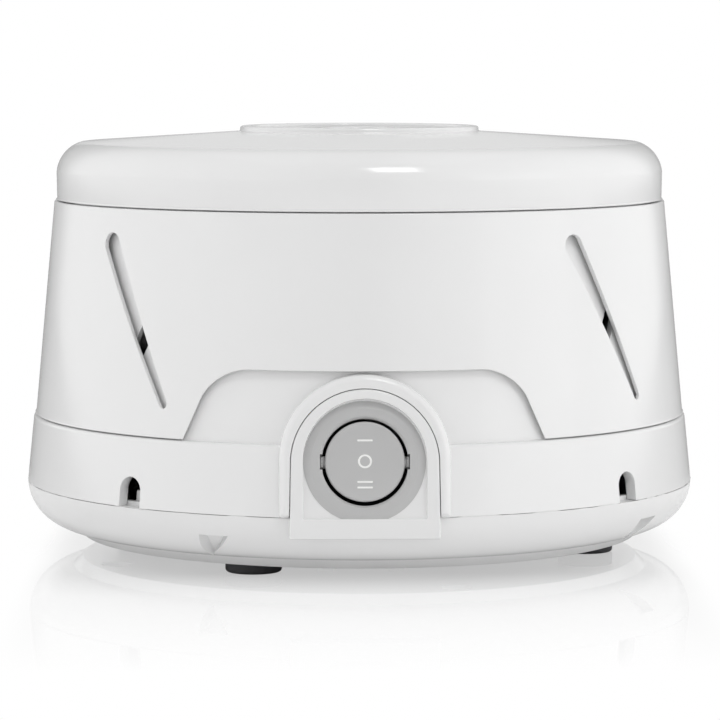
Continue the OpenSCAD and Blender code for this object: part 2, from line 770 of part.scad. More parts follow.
// ---- bottom pan ----
pan_profile = concat(
    [[0, z_under], [floor_edge_r, z_under]],
    arc(pan_arc_r, z_seam, pan_round, -90, 0, 12),
    arc(pan_arc_r, z_seam, pan_round - pan_t, 0, -90, 10),
    [[floor_edge_r + 0.4 * pan_t, floor_z], [0, floor_z]]
);
module pan_shell() {
    rotate_extrude() polygon(pan_profile);
    // Lip inside the band, and tongue of the flat front
    translate([0, 0, z_seam - 3]) ring(lip_out_r, lip_out_r - lip_t, 3 + lip_h);
    on_front() translate([0, 0, -tongue_t]) linear_extrude(tongue_t)
        arch(tongue_r, -tongue_drop, -tongue_low, tongue_foot_w);
    // Lugs that stand in the windows
    for (a = window_angles) at_angle(a) translate([0, -lip_out_r, z_seam - 2]) rotate([-wall_lean, 0, 0]) {
        translate([-lug_low_w, 0.3, 0]) cube([lug_low_w + 0.3, lip_t, lug_h + 0.7]);
        translate([-lug_top_w, 0.3, 0]) cube([lug_top_w + 0.3, lip_t, lug_h + 2]);
        translate([window_w / 2 - 1.6, -1.9, 0]) cube([1.5, lip_t + 2, lug_h - 1.4]);
    }
    // Wells for the case screws and posts for the motor
    for (a = screw_angles) at_angle(a)
        translate([0, -screw_place_r, z_under]) cylinder(r = well_r, h = well_top_z - z_under);
    for (a = mount_angles) at_angle(a)
        translate([0, -mount_r, z_under + 1]) cylinder(r = mount_post_r, h = post_z - z_under - 1);
}
module bottom_pan() {
    color(shell_white)
    difference() {
        pan_shell();
        on_pocket() linear_extrude(10) arch(pocket_r, -0.2, -pocket_flat, pocket_r);
        on_switch() translate([0, 0, -8]) cylinder(d = barrel_d + 2 * barrel_gap, h = 10);
        for (a = screw_angles) at_angle(a) translate([0, -screw_place_r, 0]) {
            cylinder(d = screw_head_d + 2 * head_room, h = well_shelf_z);
            cylinder(d = screw_d + shank_room, h = well_top_z + 1);
        }
        for (a = mount_angles) at_angle(a)
            translate([0, -mount_r, z_under + 1.4]) cylinder(r = post_bore_r, h = post_z);
        for (a = foot_angles)
            at_angle(a) translate([0, -foot_place_r, 0]) cylinder(r = foot_stem_r, h = floor_z + 1);
        for (k = [0:11]) at_angle(15 + 30 * k)
            translate([0, -23, 0]) linear_extrude(floor_z + 1) taper_slot(12, 1.7, 1.7);
        for (a = notch_angles) at_angle(a)
            translate([0, -pan_arc_r, z_seam])
                rotate([135, 0, 0])
                translate([0, 0, pan_round - notch_depth])
                linear_extrude(4)
                polygon([[-notch_w / 2, notch_top], [notch_w / 2, notch_top], [notch_skew, notch_tip]]);
    }
}
module foot(a) {
    color(rubber_dark)
    at_angle(a) translate([0, -foot_place_r, 0])
        rotate_extrude() polygon([
            [0, 0], [foot_d / 2 - foot_edge, 0], [foot_d / 2, foot_edge], [foot_d / 2, foot_h],
            [foot_stem_r, foot_h], [foot_stem_r, floor_z + 0.2], [foot_stem_r + 0.6, floor_z + 0.2],
            [foot_stem_r - 0.6, floor_z + 2.4], [0, floor_z + 2.4]
        ]);
}
module case_screws() {
    color(steel_zinc)
    for (a = screw_angles) at_angle(a) translate([0, -screw_place_r, well_shelf_z - screw_head_h]) union() {
        rotate_extrude() polygon([
            [0, 0], [screw_head_d / 2 - 0.6, 0], [screw_head_d / 2, 0.6],
            [screw_head_d / 2, screw_head_h], [0, screw_head_h]
        ]);
        translate([0, 0, screw_head_h - tiny]) cylinder(d = screw_d, h = screw_l - 1);
    }
}

// ---- switch ----
module switch_bezel() {
    color(switch_grey)
    on_switch() difference() {
        union() {
            rotate_extrude() polygon([
                [rocker_hole_r - 1.5, 0], [flange_d / 2, 0], [flange_d / 2, 0.15],
                [flange_d / 2 - 0.9, flange_t], [rocker_hole_r - 1.5, flange_t]
            ]);
            translate([0, 0, -barrel_l]) cylinder(d = barrel_d, h = barrel_l + tiny);
            // Snap latches behind the tongue
            for (side = [-1, 1]) translate([side * (barrel_d / 2 + 0.3) - 0.9, -2.5, -tongue_t - 5])
                cube([1.8, 5, 4.2]);
        }
        difference() {
            translate([0, 0, -7]) cylinder(r = rocker_hole_r, h = 10);
            for (side = [-1, 1]) translate([side * (rocker_flat + 2) - 2, -10, -8]) cube([4, 20, 12]);
        }
        // Notches that the rocker's lugs drop through
        translate([-lug_reach - 0.15, -lug_half - lug_room + rocker_lift, pivot_w])
            cube([2 * lug_reach + 0.3, 2 * (lug_half + lug_room), 8]);
        translate([0, 0, -barrel_l - 1]) cylinder(r = rocker_hole_r, h = barrel_l - 6 + 1);
        translate([0, rocker_lift, pivot_w]) bar_x(trunnion_r + trunnion_fit, -9.75, 9.75);
    }
}
module rocker() {
    color(switch_grey)
    on_switch() translate([0, rocker_lift, 0]) union() {
        difference() {
            union() {
                translate([0, 0, -2.6]) cylinder(d = rocker_d, h = rocker_face + 2.6);
                translate([0, 0, -5]) cylinder(d = rocker_d - 1.4, h = 3);
            }
            translate([0, 0, rocker_dish_r + rocker_face - 0.9]) bar_x(rocker_dish_r, -rocker_d, rocker_d);
            translate([0, 0, -6]) ring(rocker_d / 2 - 1.7, plunger_r + 1.1, 4.4);
            translate([0, 0, -8]) cylinder(r = plunger_r + 0.1, h = 6.4);
        }
        translate([0, 0, -7.4]) ring(plunger_r + 1.1, plunger_r + 0.1, 4);
        for (side = [-1, 1]) {
            translate([side * 8.1 - 1.5, 0, pivot_w]) bar_x(trunnion_r, 0, 3);
            translate([side * (lug_reach - 1) - 1, -lug_half, pivot_w]) cube([2, 2 * lug_half, 2]);
        }
    }
}
module rocker_plunger() {
    color(nylon_natural)
    on_switch() translate([0, rocker_lift, 0]) union() {
        translate([0, 0, plunger_end_w]) cylinder(r = plunger_r, h = plunger_top_w - plunger_end_w);
        translate([0, 0, plunger_end_w]) sphere(r = plunger_r);
    }
}
module rocker_spring() {
    coils = 4;
    low = plunger_top_w + 0.2;
    high = -1.8;
    path = [for (i = [0:coils * 12]) [
        1.4 * cos(i * 30), 1.4 * sin(i * 30), low + (high - low) * i / (coils * 12)
    ]];
    color(steel_zinc)
    on_switch() translate([0, rocker_lift, 0]) tube(path, 0.4, 6);
}
module contact_bar() {
    color(copper_red)
    on_switch() union() {
        translate([-bar_w / 2, rocker_lift - bar_l / 2, bar_top_w - bar_t]) cube([bar_w, bar_l, bar_t]);
        translate([0, rocker_lift, bar_top_w - bar_t]) bar_x(bead_r, -bar_w / 2 + 0.1, bar_w / 2 - 0.1);
    }
}
module blades() {
    for (k = [-1, 0, 1]) translate([-blade_w / 2, k * contact_pitch - tab_t / 2, tab_end_w])
        cube([blade_w, tab_t, contact_w - 0.2 - tab_end_w + (k == 0 ? 0.5 : 0)]);
}
module switch_terminals() {
    color(bronze)
    on_switch() union() {
        blades();
        for (k = [-1, 1]) translate([0, k * contact_pitch, contact_w - 0.7]) cylinder(r = 1.1, h = 0.7);
    }
}
module switch_base() {
    color(nylon_black)
    on_switch() difference() {
        union() {
            translate([0, 0, -barrel_l]) cylinder(r = rocker_hole_r, h = switch_base_t);
            for (k = [-1, 0, 1]) translate([-blade_w / 2 - 1, k * contact_pitch - 1.4, -barrel_l])
                cube([blade_w + 2, 2.8, barrel_l + contact_w - 1.2]);
        }
        blades();
    }
}
module spade_connectors() {
    color(bronze)
    on_switch() difference() {
        for (k = [-1, 0, 1]) translate([-blade_w / 2 - 0.7, k * contact_pitch - 1.3, connector_end_w])
            cube([blade_w + 1.4, 2.6, connector_l]);
        blades();
    }
}

// ---- motor ----
module motor_plate() {
    color(steel_zinc)
    translate([0, 0, plate_z]) linear_extrude(plate_t) difference() {
        union() {
            circle(r = plate_r);
            for (a = mount_angles) rotate(a) {
                translate([0, -mount_r]) circle(r = ear_r);
                translate([-ear_r, -mount_r]) square([2 * ear_r, mount_r]);
            }
        }
        for (a = mount_angles) rotate(a) translate([0, -mount_r]) circle(r = mount_groove_r);
        for (side = [-1, 1]) translate([side * bolt_x, 0]) circle(d = bolt_d);
        circle(r = cup_r + cup_room);
    }
}
module rubber_mounts() {
    color(rubber_dark)
    for (a = mount_angles) at_angle(a) translate([0, -mount_r, post_z]) rotate_extrude() polygon([
        [mount_shank_r, 0], [mount_flange_r, 0], [mount_flange_r, rubber_flange_t],
        [mount_groove_r, rubber_flange_t], [mount_groove_r, rubber_flange_t + plate_t],
        [mount_flange_r, rubber_flange_t + plate_t], [mount_flange_r, 2 * rubber_flange_t + plate_t],
        [mount_shank_r, 2 * rubber_flange_t + plate_t]
    ]);
}
module mount_screws() {
    color(steel_zinc)
    for (a = mount_angles) at_angle(a) translate([0, -mount_r, 0]) union() {
        translate([0, 0, post_z - mount_bite]) cylinder(r = post_bore_r, h = mount_bite + tiny);
        translate([0, 0, post_z]) cylinder(r = mount_shank_r, h = rubber_top_z - post_z + tiny);
        translate([0, 0, rubber_top_z]) cylinder(r = mount_head_r, h = mount_head_h);
    }
}
module bracket_spacers() {
    color(steel_zinc)
    for (side = [-1, 1]) translate([side * bolt_x, 0, plate_top_z]) ring(spacer_r, bolt_d / 2, spacer_h);
}
module lower_bracket() {
    color(cast_zinc)
    difference() {
        union() {
            translate([-bolt_x, -foot_r, bracket_z]) cube([2 * bolt_x, 2 * foot_r, bar_h]);
            for (side = [-1, 1])
                translate([side * bolt_x, 0, bracket_z]) cylinder(r = foot_r, h = bracket_foot_h);
            translate([0, 0, lower_bush_z - cup_floor])
                cylinder(r = cup_r, h = bracket_z + bar_h - lower_bush_z + cup_floor);
        }
        translate([0, 0, lower_bush_z]) cylinder(d = bush_d, h = bush_l + 4);
        for (side = [-1, 1])
            translate([side * bolt_x, 0, bracket_z - 1]) cylinder(d = bolt_d, h = bracket_foot_h + 2);
        translate([0, 0, stack_z - end_ring_h - 1]) cylinder(r = stator_bore / 2, h = end_ring_h + 2);
    }
}
module upper_bracket() {
    top = stack_top_z + bracket_foot_h;
    color(cast_zinc)
    difference() {
        union() {
            translate([-bolt_x, -foot_r, top - bar_h]) cube([2 * bolt_x, 2 * foot_r, bar_h]);
            for (side = [-1, 1])
                translate([side * bolt_x, 0, stack_top_z]) cylinder(r = foot_r, h = bracket_foot_h);
            translate([0, 0, top - bar_h]) cylinder(r = cup_r, h = cup_top_z - top + bar_h);
        }
        translate([0, 0, upper_bush_z - 4]) cylinder(d = bush_d, h = bush_l + 4);
        translate([0, 0, upper_bush_z]) cylinder(r = shaft_d / 2 + shaft_room, h = bush_l + 4);
        for (side = [-1, 1])
            translate([side * bolt_x, 0, stack_top_z - 1]) cylinder(d = bolt_d, h = bracket_foot_h + 2);
        translate([0, 0, stack_top_z - 1]) cylinder(r = stator_bore / 2, h = end_ring_h + 2);
    }
}
module bush(z) {
    color(bronze)
    translate([0, 0, z]) ring(bush_d / 2, shaft_d / 2 + shaft_fit, bush_l);
}
module shade_legs(w) {
    for (side = [0, 180]) for (flip = [-1, 1]) for (a = shade_angles)
        rotate(side + flip * a) translate([shade_r - w / 2, -w / 2]) square([w, w]);
}
module stator_core() {
    color(lamination_grey)
    translate([0, 0, stack_z]) linear_extrude(stack_t) difference() {
        union() {
            translate([-stack_w / 2, 5 - stack_front_y])
                square([stack_w, yoke_y + yoke_w + stack_front_y - 5]);
            translate([-stack_w / 2 + 5, -stack_front_y]) square([stack_w - 10, 6]);
            for (side = [-1, 1]) translate([side * (stack_w / 2 - 5), -stack_front_y + 5]) circle(r = 5);
        }
        circle(d = stator_bore);
        translate([-leg_x, window_y]) square([2 * leg_x, yoke_y - window_y]);
        for (side = [-1, 1]) translate([side * bolt_x, 0]) circle(d = bolt_d);
        shade_legs(shade_w);
    }
}
module shading_rings() {
    span = shade_angles[1] - shade_angles[0] + 2 * asin(shade_w / 2 / shade_r);
    color(copper_red)
    union() {
        translate([0, 0, stack_z - 1]) linear_extrude(stack_t + 2) shade_legs(shade_w);
        for (z = [stack_z - 1.6, stack_top_z]) translate([0, 0, z]) linear_extrude(1.6)
            for (side = [0, 180]) for (flip = [-1, 1])
                rotate(90 + side + flip * (shade_angles[0] + shade_angles[1]) / 2)
                    wedge(shade_r - shade_w / 2, shade_r + shade_w / 2, span);
    }
}
// Rectangle round the yoke, grown by g, seen along X with its corners rounded
module yoke_outline(g) {
    r = g < 0.5 ? 0.2 : min(g, 4);
    y0 = yoke_y - g;
    z0 = stack_z - g;
    w = yoke_w + 2 * g;
    h = stack_t + 2 * g;
    union() {
        translate([y0 + r, z0]) square([w - 2 * r, h]);
        translate([y0, z0 + r]) square([w, h - 2 * r]);
        for (y = [y0 + r, y0 + w - r]) for (z = [z0 + r, z0 + h - r]) translate([y, z]) circle(r = r);
    }
}
module along_x(x0, x1) {
    translate([x0, 0, 0]) rotate([90, 0, 90]) linear_extrude(x1 - x0) children();
}
module yoke_hole() {
    translate([-leg_x - 1, yoke_y, stack_z]) cube([2 * leg_x + 2, yoke_w, stack_t]);
}
module coil_bobbin() {
    color(nylon_natural)
    difference() {
        union() {
            along_x(-leg_x, leg_x) yoke_outline(bobbin_wall);
            for (x = [-leg_x, leg_x - flange_wall]) along_x(x, x + flange_wall)
                yoke_outline(bobbin_wall + winding_t + tape_t);
        }
        yoke_hole();
    }
}
module coil_winding() {
    color(copper_red)
    along_x(-leg_x + flange_wall, leg_x - flange_wall) difference() {
        yoke_outline(bobbin_wall + winding_t);
        yoke_outline(bobbin_wall);
    }
}
module coil_tape() {
    color(tape_yellow)
    along_x(-leg_x + flange_wall, leg_x - flange_wall) difference() {
        yoke_outline(bobbin_wall + winding_t + tape_t);
        yoke_outline(bobbin_wall + winding_t);
    }
}
module thermal_fuse() {
    color(nylon_black)
    translate([0, fuse_y, fuse_z]) union() {
        bar_x(fuse_r, -fuse_l / 2, fuse_l / 2);
        bar_x(fuse_wire_r, fuse_l / 2 - 0.1, fuse_wire_x + fuse_wire_r);
        translate([fuse_wire_x, 0, 0]) rotate([90, 0, 0]) cylinder(r = fuse_wire_r, h = fuse_r);
    }
}
module through_screws() {
    color(steel_zinc)
    for (side = [-1, 1]) translate([side * bolt_x, 0, plate_z]) union() {
        cylinder(d = bolt_d, h = stack_top_z + bracket_foot_h + bolt_end - plate_z);
        translate([0, 0, -bolt_head_h]) cylinder(r = bolt_head_r, h = bolt_head_h + tiny);
    }
}
module screw_nuts() {
    color(steel_zinc)
    for (side = [-1, 1]) translate([side * bolt_x, 0, stack_top_z + bracket_foot_h]) difference() {
        cylinder(r = nut_r, h = nut_h, $fn = 6);
        translate([0, 0, -1]) cylinder(d = bolt_d, h = nut_h + 2);
    }
}

// ---- rotor and fan ----
module rotor_core() {
    color(lamination_grey)
    translate([0, 0, stack_z]) ring(stator_bore / 2 - air_gap, shaft_d / 2, stack_t);
}
module rotor_end_rings() {
    color(cast_aluminium)
    for (z = [stack_z - end_ring_h, stack_top_z])
        translate([0, 0, z]) ring(stator_bore / 2 - air_gap - 0.5, end_ring_in_r, end_ring_h);
}
module motor_shaft() {
    low_shoulder_z = lower_bush_z + bush_l + washer_gap + thrust_t;
    high_shoulder_z = upper_bush_z - washer_gap - thrust_t;
    color(steel_zinc)
    rotate_extrude() polygon([
        [0, shaft_low_z], [shaft_d / 2, shaft_low_z], [shaft_d / 2, low_shoulder_z],
        [shoulder_shaft_r, low_shoulder_z], [shoulder_shaft_r, stack_z], [shaft_d / 2, stack_z],
        [shaft_d / 2, stack_top_z], [shoulder_shaft_r, stack_top_z], [shoulder_shaft_r, high_shoulder_z],
        [shaft_d / 2, high_shoulder_z], [shaft_d / 2, shaft_top_z], [0, shaft_top_z]
    ]);
}
module thrust_washers() {
    color(nylon_natural)
    for (z = [lower_bush_z + bush_l + washer_gap, upper_bush_z - washer_gap - thrust_t])
        translate([0, 0, z]) ring(thrust_r, shaft_d / 2, thrust_t);
}
module fan_blade() {
    translate([0, 0, fan_bottom_z + fan_edge]) linear_extrude(blade_h + 0.1) intersection() {
        translate([blade_curve_r, -blade_in_r]) difference() {
            circle(r = blade_curve_r + blade_t / 2);
            circle(r = blade_curve_r - blade_t / 2);
        }
        wedge(blade_in_r, fan_d / 2 - fan_edge, 80);
    }
}
module fan_wheel() {
    color(nylon_natural)
    difference() {
        union() {
            translate([0, 0, fan_disc_z]) cylinder(d = fan_d, h = fan_disc_t);
            translate([0, 0, fan_hub_z]) cylinder(r = fan_hub_r, h = fan_top_z - fan_hub_z);
            for (a = blade_angles) at_angle(a) fan_blade();
            translate([0, 0, fan_bottom_z]) ring(fan_d / 2, fan_d / 2 - fan_ring_t, fan_ring_h);
        }
        translate([0, 0, fan_hub_z - 1]) cylinder(d = shaft_d, h = fan_top_z - fan_hub_z + 2);
    }
}
module fan_clip() {
    color(steel_zinc)
    translate([0, 0, fan_top_z]) ring(clip_r, shaft_d / 2, clip_t);
}

// ---- leads ----
module lead(route, shade) {
    color(shade)
    tube(smooth(route, 4), lead_d);
}
module crimp_caps() {
    color(nylon_natural)
    for (side = [-1, 1]) translate([side * crimp_x, crimp_y, crimp_z]) rotate([-90, 0, 0]) difference() {
        union() {
            cylinder(r = crimp_r, h = crimp_l);
            translate([0, 0, crimp_l - tiny]) cylinder(r1 = crimp_r, r2 = crimp_tip_r, h = crimp_tip);
        }
        translate([0, 0, -1]) cylinder(r = lead_d / 2 + 0.15, h = 5);
    }
}

top_cap();
side_collar();
acoustic_housing();
bottom_pan();
foot(foot_angles[0]);  // foot_front_left
foot(foot_angles[1]);  // foot_front_right
foot(foot_angles[2]);  // foot_rear_right
foot(foot_angles[3]);  // foot_rear_left
case_screws();
cap_screw();
cap_washer();
cord_bush();
switch_bezel();
switch_base();
switch_terminals();
contact_bar();
rocker();
rocker_plunger();
rocker_spring();
spade_connectors();
motor_plate();
rubber_mounts();
mount_screws();
bracket_spacers();
lower_bracket();
upper_bracket();
bush(lower_bush_z);  // lower_bush
bush(upper_bush_z);  // upper_bush
stator_core();
shading_rings();
coil_bobbin();
coil_winding();
coil_tape();
thermal_fuse();
through_screws();
screw_nuts();
rotor_core();
rotor_end_rings();
motor_shaft();
thrust_washers();
fan_wheel();
fan_clip();
lead(low_route, "#c23b2e");  // low_speed_lead
lead(high_route, "#2b2b2c");  // high_speed_lead
lead(line_route, "#2b2b2c");  // line_lead
lead(neutral_route, "#e6e4df");  // neutral_lead
crimp_caps();
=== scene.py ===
import json
import math

import bpy
from mathutils import Matrix, Vector

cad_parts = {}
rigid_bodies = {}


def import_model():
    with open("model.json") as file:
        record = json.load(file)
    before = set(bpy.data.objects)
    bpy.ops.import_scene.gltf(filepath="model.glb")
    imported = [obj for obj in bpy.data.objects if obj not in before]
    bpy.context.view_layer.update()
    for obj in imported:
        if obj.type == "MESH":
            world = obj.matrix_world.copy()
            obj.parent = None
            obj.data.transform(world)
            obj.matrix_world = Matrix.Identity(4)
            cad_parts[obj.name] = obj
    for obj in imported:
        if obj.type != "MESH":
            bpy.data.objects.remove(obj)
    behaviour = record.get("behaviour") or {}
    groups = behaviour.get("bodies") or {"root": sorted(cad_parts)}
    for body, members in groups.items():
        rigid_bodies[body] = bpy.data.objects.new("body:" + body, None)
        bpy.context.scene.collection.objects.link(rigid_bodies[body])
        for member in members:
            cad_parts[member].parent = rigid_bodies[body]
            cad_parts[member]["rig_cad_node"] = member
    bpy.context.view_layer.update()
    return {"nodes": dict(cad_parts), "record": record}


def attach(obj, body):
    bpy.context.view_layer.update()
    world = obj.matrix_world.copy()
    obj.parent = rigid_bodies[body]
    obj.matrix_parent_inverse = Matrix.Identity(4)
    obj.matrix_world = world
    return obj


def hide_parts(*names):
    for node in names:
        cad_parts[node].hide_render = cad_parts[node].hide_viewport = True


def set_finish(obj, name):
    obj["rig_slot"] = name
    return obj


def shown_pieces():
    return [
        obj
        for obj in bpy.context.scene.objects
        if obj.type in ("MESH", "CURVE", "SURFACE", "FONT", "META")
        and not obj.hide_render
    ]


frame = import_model()

mm = 0.001  # every size below is in millimetres
turnSteps = 192  # faces round a turned shell


# camera
camera = {
    "place": (-12.43, -773.9, 109.9),
    "pitch": 5.17,  # degrees down
    "yaw": -0.92,
    "focal": 176.2,
    "shift": 0.00097,
}


def addCamera():
    spot = [value * mm for value in camera["place"]]
    turn = (math.radians(90 - camera["pitch"]), 0, math.radians(camera["yaw"]))
    bpy.ops.object.camera_add(location=spot, rotation=turn)
    eye = bpy.context.object
    eye.name = "portraitCamera"
    eye.data.sensor_width = 36
    eye.data.lens = camera["focal"]
    eye.data.shift_x = camera["shift"]
    eye.data.clip_start = 0.01
    bpy.context.scene.camera = eye


addCamera()
print("camera placed")


# modelling helpers
def deselectAll():
    bpy.ops.object.select_all(action="DESELECT")


def pick(piece):
    deselectAll()
    piece.select_set(True)
    bpy.context.view_layer.objects.active = piece


def bakePlace(piece):
    pick(piece)
    bpy.ops.object.transform_apply(location=True, rotation=True, scale=True)
    return piece


def place(piece, matrix):
    piece.matrix_world = matrix
    return bakePlace(piece)


def applyModifier(piece, kind, **settings):
    pick(piece)
    modifier = piece.modifiers.new(kind.title(), kind)
    for key, value in settings.items():
        setattr(modifier, key, value)
    bpy.ops.object.modifier_apply(modifier=modifier.name)


def cutWith(piece, cutter, operation="DIFFERENCE"):
    applyModifier(piece, "BOOLEAN", object=cutter, operation=operation, solver="EXACT")
    bpy.data.objects.remove(cutter)


def joinTo(piece, other):
    cutWith(piece, other, "UNION")


def softEdges(piece, width, segments=2, angle=38):
    applyModifier(
        piece, "BEVEL", width=width * mm, segments=segments, limit_method="ANGLE",
        angle_limit=math.radians(angle), use_clamp_overlap=False, miter_outer="MITER_ARC",
    )


def cleanUp(piece, distance=0.01):
    pick(piece)
    bpy.ops.object.mode_set(mode="EDIT")
    bpy.ops.mesh.select_all(action="SELECT")
    bpy.ops.mesh.remove_doubles(threshold=distance * mm)
    bpy.ops.mesh.dissolve_degenerate(threshold=distance * mm)
    bpy.ops.object.mode_set(mode="OBJECT")


def smoothFaces(piece, angle=30):
    # the large faces set the normals, so that a small rounding leaves no streak on them
    pick(piece)
    bpy.ops.object.shade_smooth_by_angle(angle=math.radians(angle))
    applyModifier(piece, "WEIGHTED_NORMAL", keep_sharp=True, weight=60)


def selectWhere(piece, test):
    # leaves the piece in edit mode with the vertices that pass selected
    bpy.ops.object.mode_set(mode="OBJECT")
    for vertex in piece.data.vertices:
        vertex.select = test(vertex.co / mm)
    for edge in piece.data.edges:
        edge.select = all(piece.data.vertices[index].select for index in edge.vertices)
    for face in piece.data.polygons:
        face.select = all(piece.data.vertices[index].select for index in face.vertices)
    bpy.ops.object.mode_set(mode="EDIT")


def arc(centreR, centreZ, radius, start, end, steps=8):
    points = []
    for index in range(steps + 1):
        angle = math.radians(start + (end - start) * index / steps)
        points.append((centreR + radius * math.cos(angle), centreZ + radius * math.sin(angle)))
    return points


def rounded(corners, closed=True):
    # corners are (radius, height) or (radius, height, fillet)
    points = []
    count = len(corners)
    for index, corner in enumerate(corners):
        here = Vector(corner[:2])
        atEnd = not closed and index in (0, count - 1)
        fillet = corner[2] if len(corner) > 2 else 0
        if atEnd or not fillet:
            points.append(tuple(here))
            continue
        toLast = Vector(corners[index - 1][:2]) - here
        toNext = Vector(corners[(index + 1) % count][:2]) - here
        room = 0.45 * min(toLast.length, toNext.length)
        toLast.normalize()
        toNext.normalize()
        half = math.acos(max(-1, min(1, toLast.dot(toNext)))) / 2
        reach = min(fillet / math.tan(half), room)
        fillet = reach * math.tan(half)
        centre = here + (toLast + toNext).normalized() * fillet / math.sin(half)
        first = here + toLast * reach - centre
        sweep = math.pi - 2 * half
        if first.cross(toNext) < 0:
            sweep = -sweep
        steps = max(2, math.ceil(abs(sweep) / math.radians(18)))
        for step in range(steps + 1):
            spin = sweep * step / steps
            cosine, sine = math.cos(spin), math.sin(spin)
            points.append(tuple(centre + Vector((
                first.x * cosine - first.y * sine, first.x * sine + first.y * cosine))))
    if closed:
        points.append(points[0])
    return points


def turned(name, profile, steps=turnSteps):
    # a ring, extruded ring by ring along the profile, as on a lathe
    deselectAll()
    onAxis = 0.001
    radius, height = max(profile[0][0], onAxis), profile[0][1]
    bpy.ops.mesh.primitive_circle_add(vertices=steps, radius=radius * mm, location=(0, 0, height * mm))
    shell = bakePlace(bpy.context.object)
    shell.name = name
    bpy.ops.object.mode_set(mode="EDIT")
    bpy.ops.mesh.select_all(action="SELECT")
    for nextRadius, nextHeight in profile[1:]:
        nextRadius = max(nextRadius, onAxis)
        grow = nextRadius / radius
        lift = (0, 0, (nextHeight - height) * mm)
        bpy.ops.mesh.extrude_region_move(TRANSFORM_OT_translate={"value": lift})
        bpy.ops.transform.resize(value=(grow, grow, 1), center_override=(0, 0, 0))
        radius, height = nextRadius, nextHeight
    bpy.ops.mesh.select_all(action="SELECT")
    bpy.ops.mesh.remove_doubles(threshold=0.003 * mm)
    bpy.ops.mesh.normals_make_consistent(inside=False)
    bpy.ops.object.mode_set(mode="OBJECT")
    return shell


def block(size, centre, name="block"):
    deselectAll()
    bpy.ops.mesh.primitive_cube_add(size=1, location=[value * mm for value in centre])
    piece = bpy.context.object
    piece.name = name
    piece.scale = [value * mm for value in size]
    return bakePlace(piece)


def rod(radius, low, high, name="rod", steps=64):
    # a cylinder along Z from low to high
    deselectAll()
    middle = (low + high) / 2
    bpy.ops.mesh.primitive_cylinder_add(
        vertices=steps, radius=radius * mm, depth=(high - low) * mm, location=(0, 0, middle * mm))
    piece = bpy.context.object
    piece.name = name
    return bakePlace(piece)


def archBlock(radius, centre, foot, footHalf, low, high, edge=0):
    # a rod whose lower half is drawn down to a straight foot, with its outer rim bevelled
    piece = rod(radius, low, high, "arch", 96)
    place(piece, Matrix.Translation((0, centre * mm, 0)))
    selectWhere(piece, lambda at: at.y < centre - 0.01)
    widen = footHalf / (radius * math.cos(2 * math.pi / 96))
    bpy.ops.transform.resize(value=(widen, 0, 1), center_override=(0, foot * mm, 0))
    bpy.ops.mesh.select_all(action="SELECT")
    bpy.ops.mesh.dissolve_limited(angle_limit=math.radians(1))
    if edge:
        selectWhere(piece, lambda at: at.z > high - 0.01)
        bpy.ops.mesh.bevel(offset=edge * mm, segments=8, affect="EDGES")
    bpy.ops.object.mode_set(mode="OBJECT")
    return piece


def taperSlot(length, topRadius, lowRadius, depth):
    # a rod whose halves are drawn apart, its lower half made smaller
    piece = rod(topRadius, 0, depth, "slot", 48)
    selectWhere(piece, lambda at: at.y > 0.01)
    bpy.ops.transform.translate(value=(0, length / 2 * mm, 0))
    selectWhere(piece, lambda at: at.y < 0.011)
    shrink = lowRadius / topRadius
    bpy.ops.transform.resize(value=(shrink, shrink, 1), center_override=(0, 0, 0))
    bpy.ops.transform.translate(value=(0, -length / 2 * mm, 0))
    bpy.ops.object.mode_set(mode="OBJECT")
    return piece


def aboutZ(degrees):
    # the front is -Y, and angles are counted towards +X
    return Matrix.Rotation(math.radians(degrees), 4, "Z")


def outAt(degrees, distance):
    # a place on the floor that far from the axis
    return aboutZ(degrees) @ Matrix.Translation((0, -distance * mm, 0))


def facingFront(distance, height):
    # local X stays, local Y is up, local Z points to -Y
    return Matrix.Translation((0, -distance * mm, height * mm)) @ Matrix.Rotation(math.radians(90), 4, "X")


def facingBack(distance, height):
    # local X stays, local Z points to +Y
    return Matrix.Translation((0, distance * mm, height * mm)) @ Matrix.Rotation(math.radians(-90), 4, "X")


# the case, shared by its pieces
case = {
    "baseDiameter": 146,
    "wallLean": 6.2,
    "floorHeight": 2.6,
    "seamHeight": 14.5,
    "ledgeHeight": 28.9,
    "lidHeight": 75.7,
    "creaseHeight": 88.0,
    "crownHeight": 90.3,
    "seamGap": 0.3,
    "collarWall": 1.6,
    "housingWall": 1.5,
    "bandWall": 2.6,
    "collarProud": 0.3,
    "capProud": 0.5,
    "collarGap": 0.6,
    "deckGap": 0.6,
    "deckWall": 2.2,
}
lean = math.radians(case["wallLean"])


def wallRadius(height):
    return case["baseDiameter"] / 2 - (height - case["seamHeight"]) * math.tan(lean)


def collarOuter(height):
    return wallRadius(height) + case["collarProud"]


def collarInner(height):
    return collarOuter(height) - case["collarWall"]


def housingOuter(height):
    return collarInner(height) - case["collarGap"]


def housingInner(height):
    return housingOuter(height) - case["housingWall"]


# cap
cap = {
    "wall": 2.0,
    "shoulder": 7.5,
    "creaseTurn": 72,
    "ringDiameter": 52.2,
    "ringHeight": 1.2,
    "ringWall": 2.2,
    "ringSet": 0.5,
    "wellDepth": 3.6,
    "wellFloor": 1.5,
    "hubDiameter": 16,
    "hubWall": 1.4,
    "hubDrop": 0.4,
    "pivotRadius": 5.05,
    "hubShelf": 1.0,
    "vents": 6,
    "ventInner": 9.4,
    "ventOuter": 22.1,
    "ventTurn": 15,
    "edge": 0.25,
}
topHeight = case["crownHeight"] + cap["ringHeight"]
wellTop = case["crownHeight"] - cap["wellDepth"]
wellUnder = wellTop - cap["wellFloor"]
deckHeight = wellUnder - case["deckGap"]
deckUnder = deckHeight - case["deckWall"]


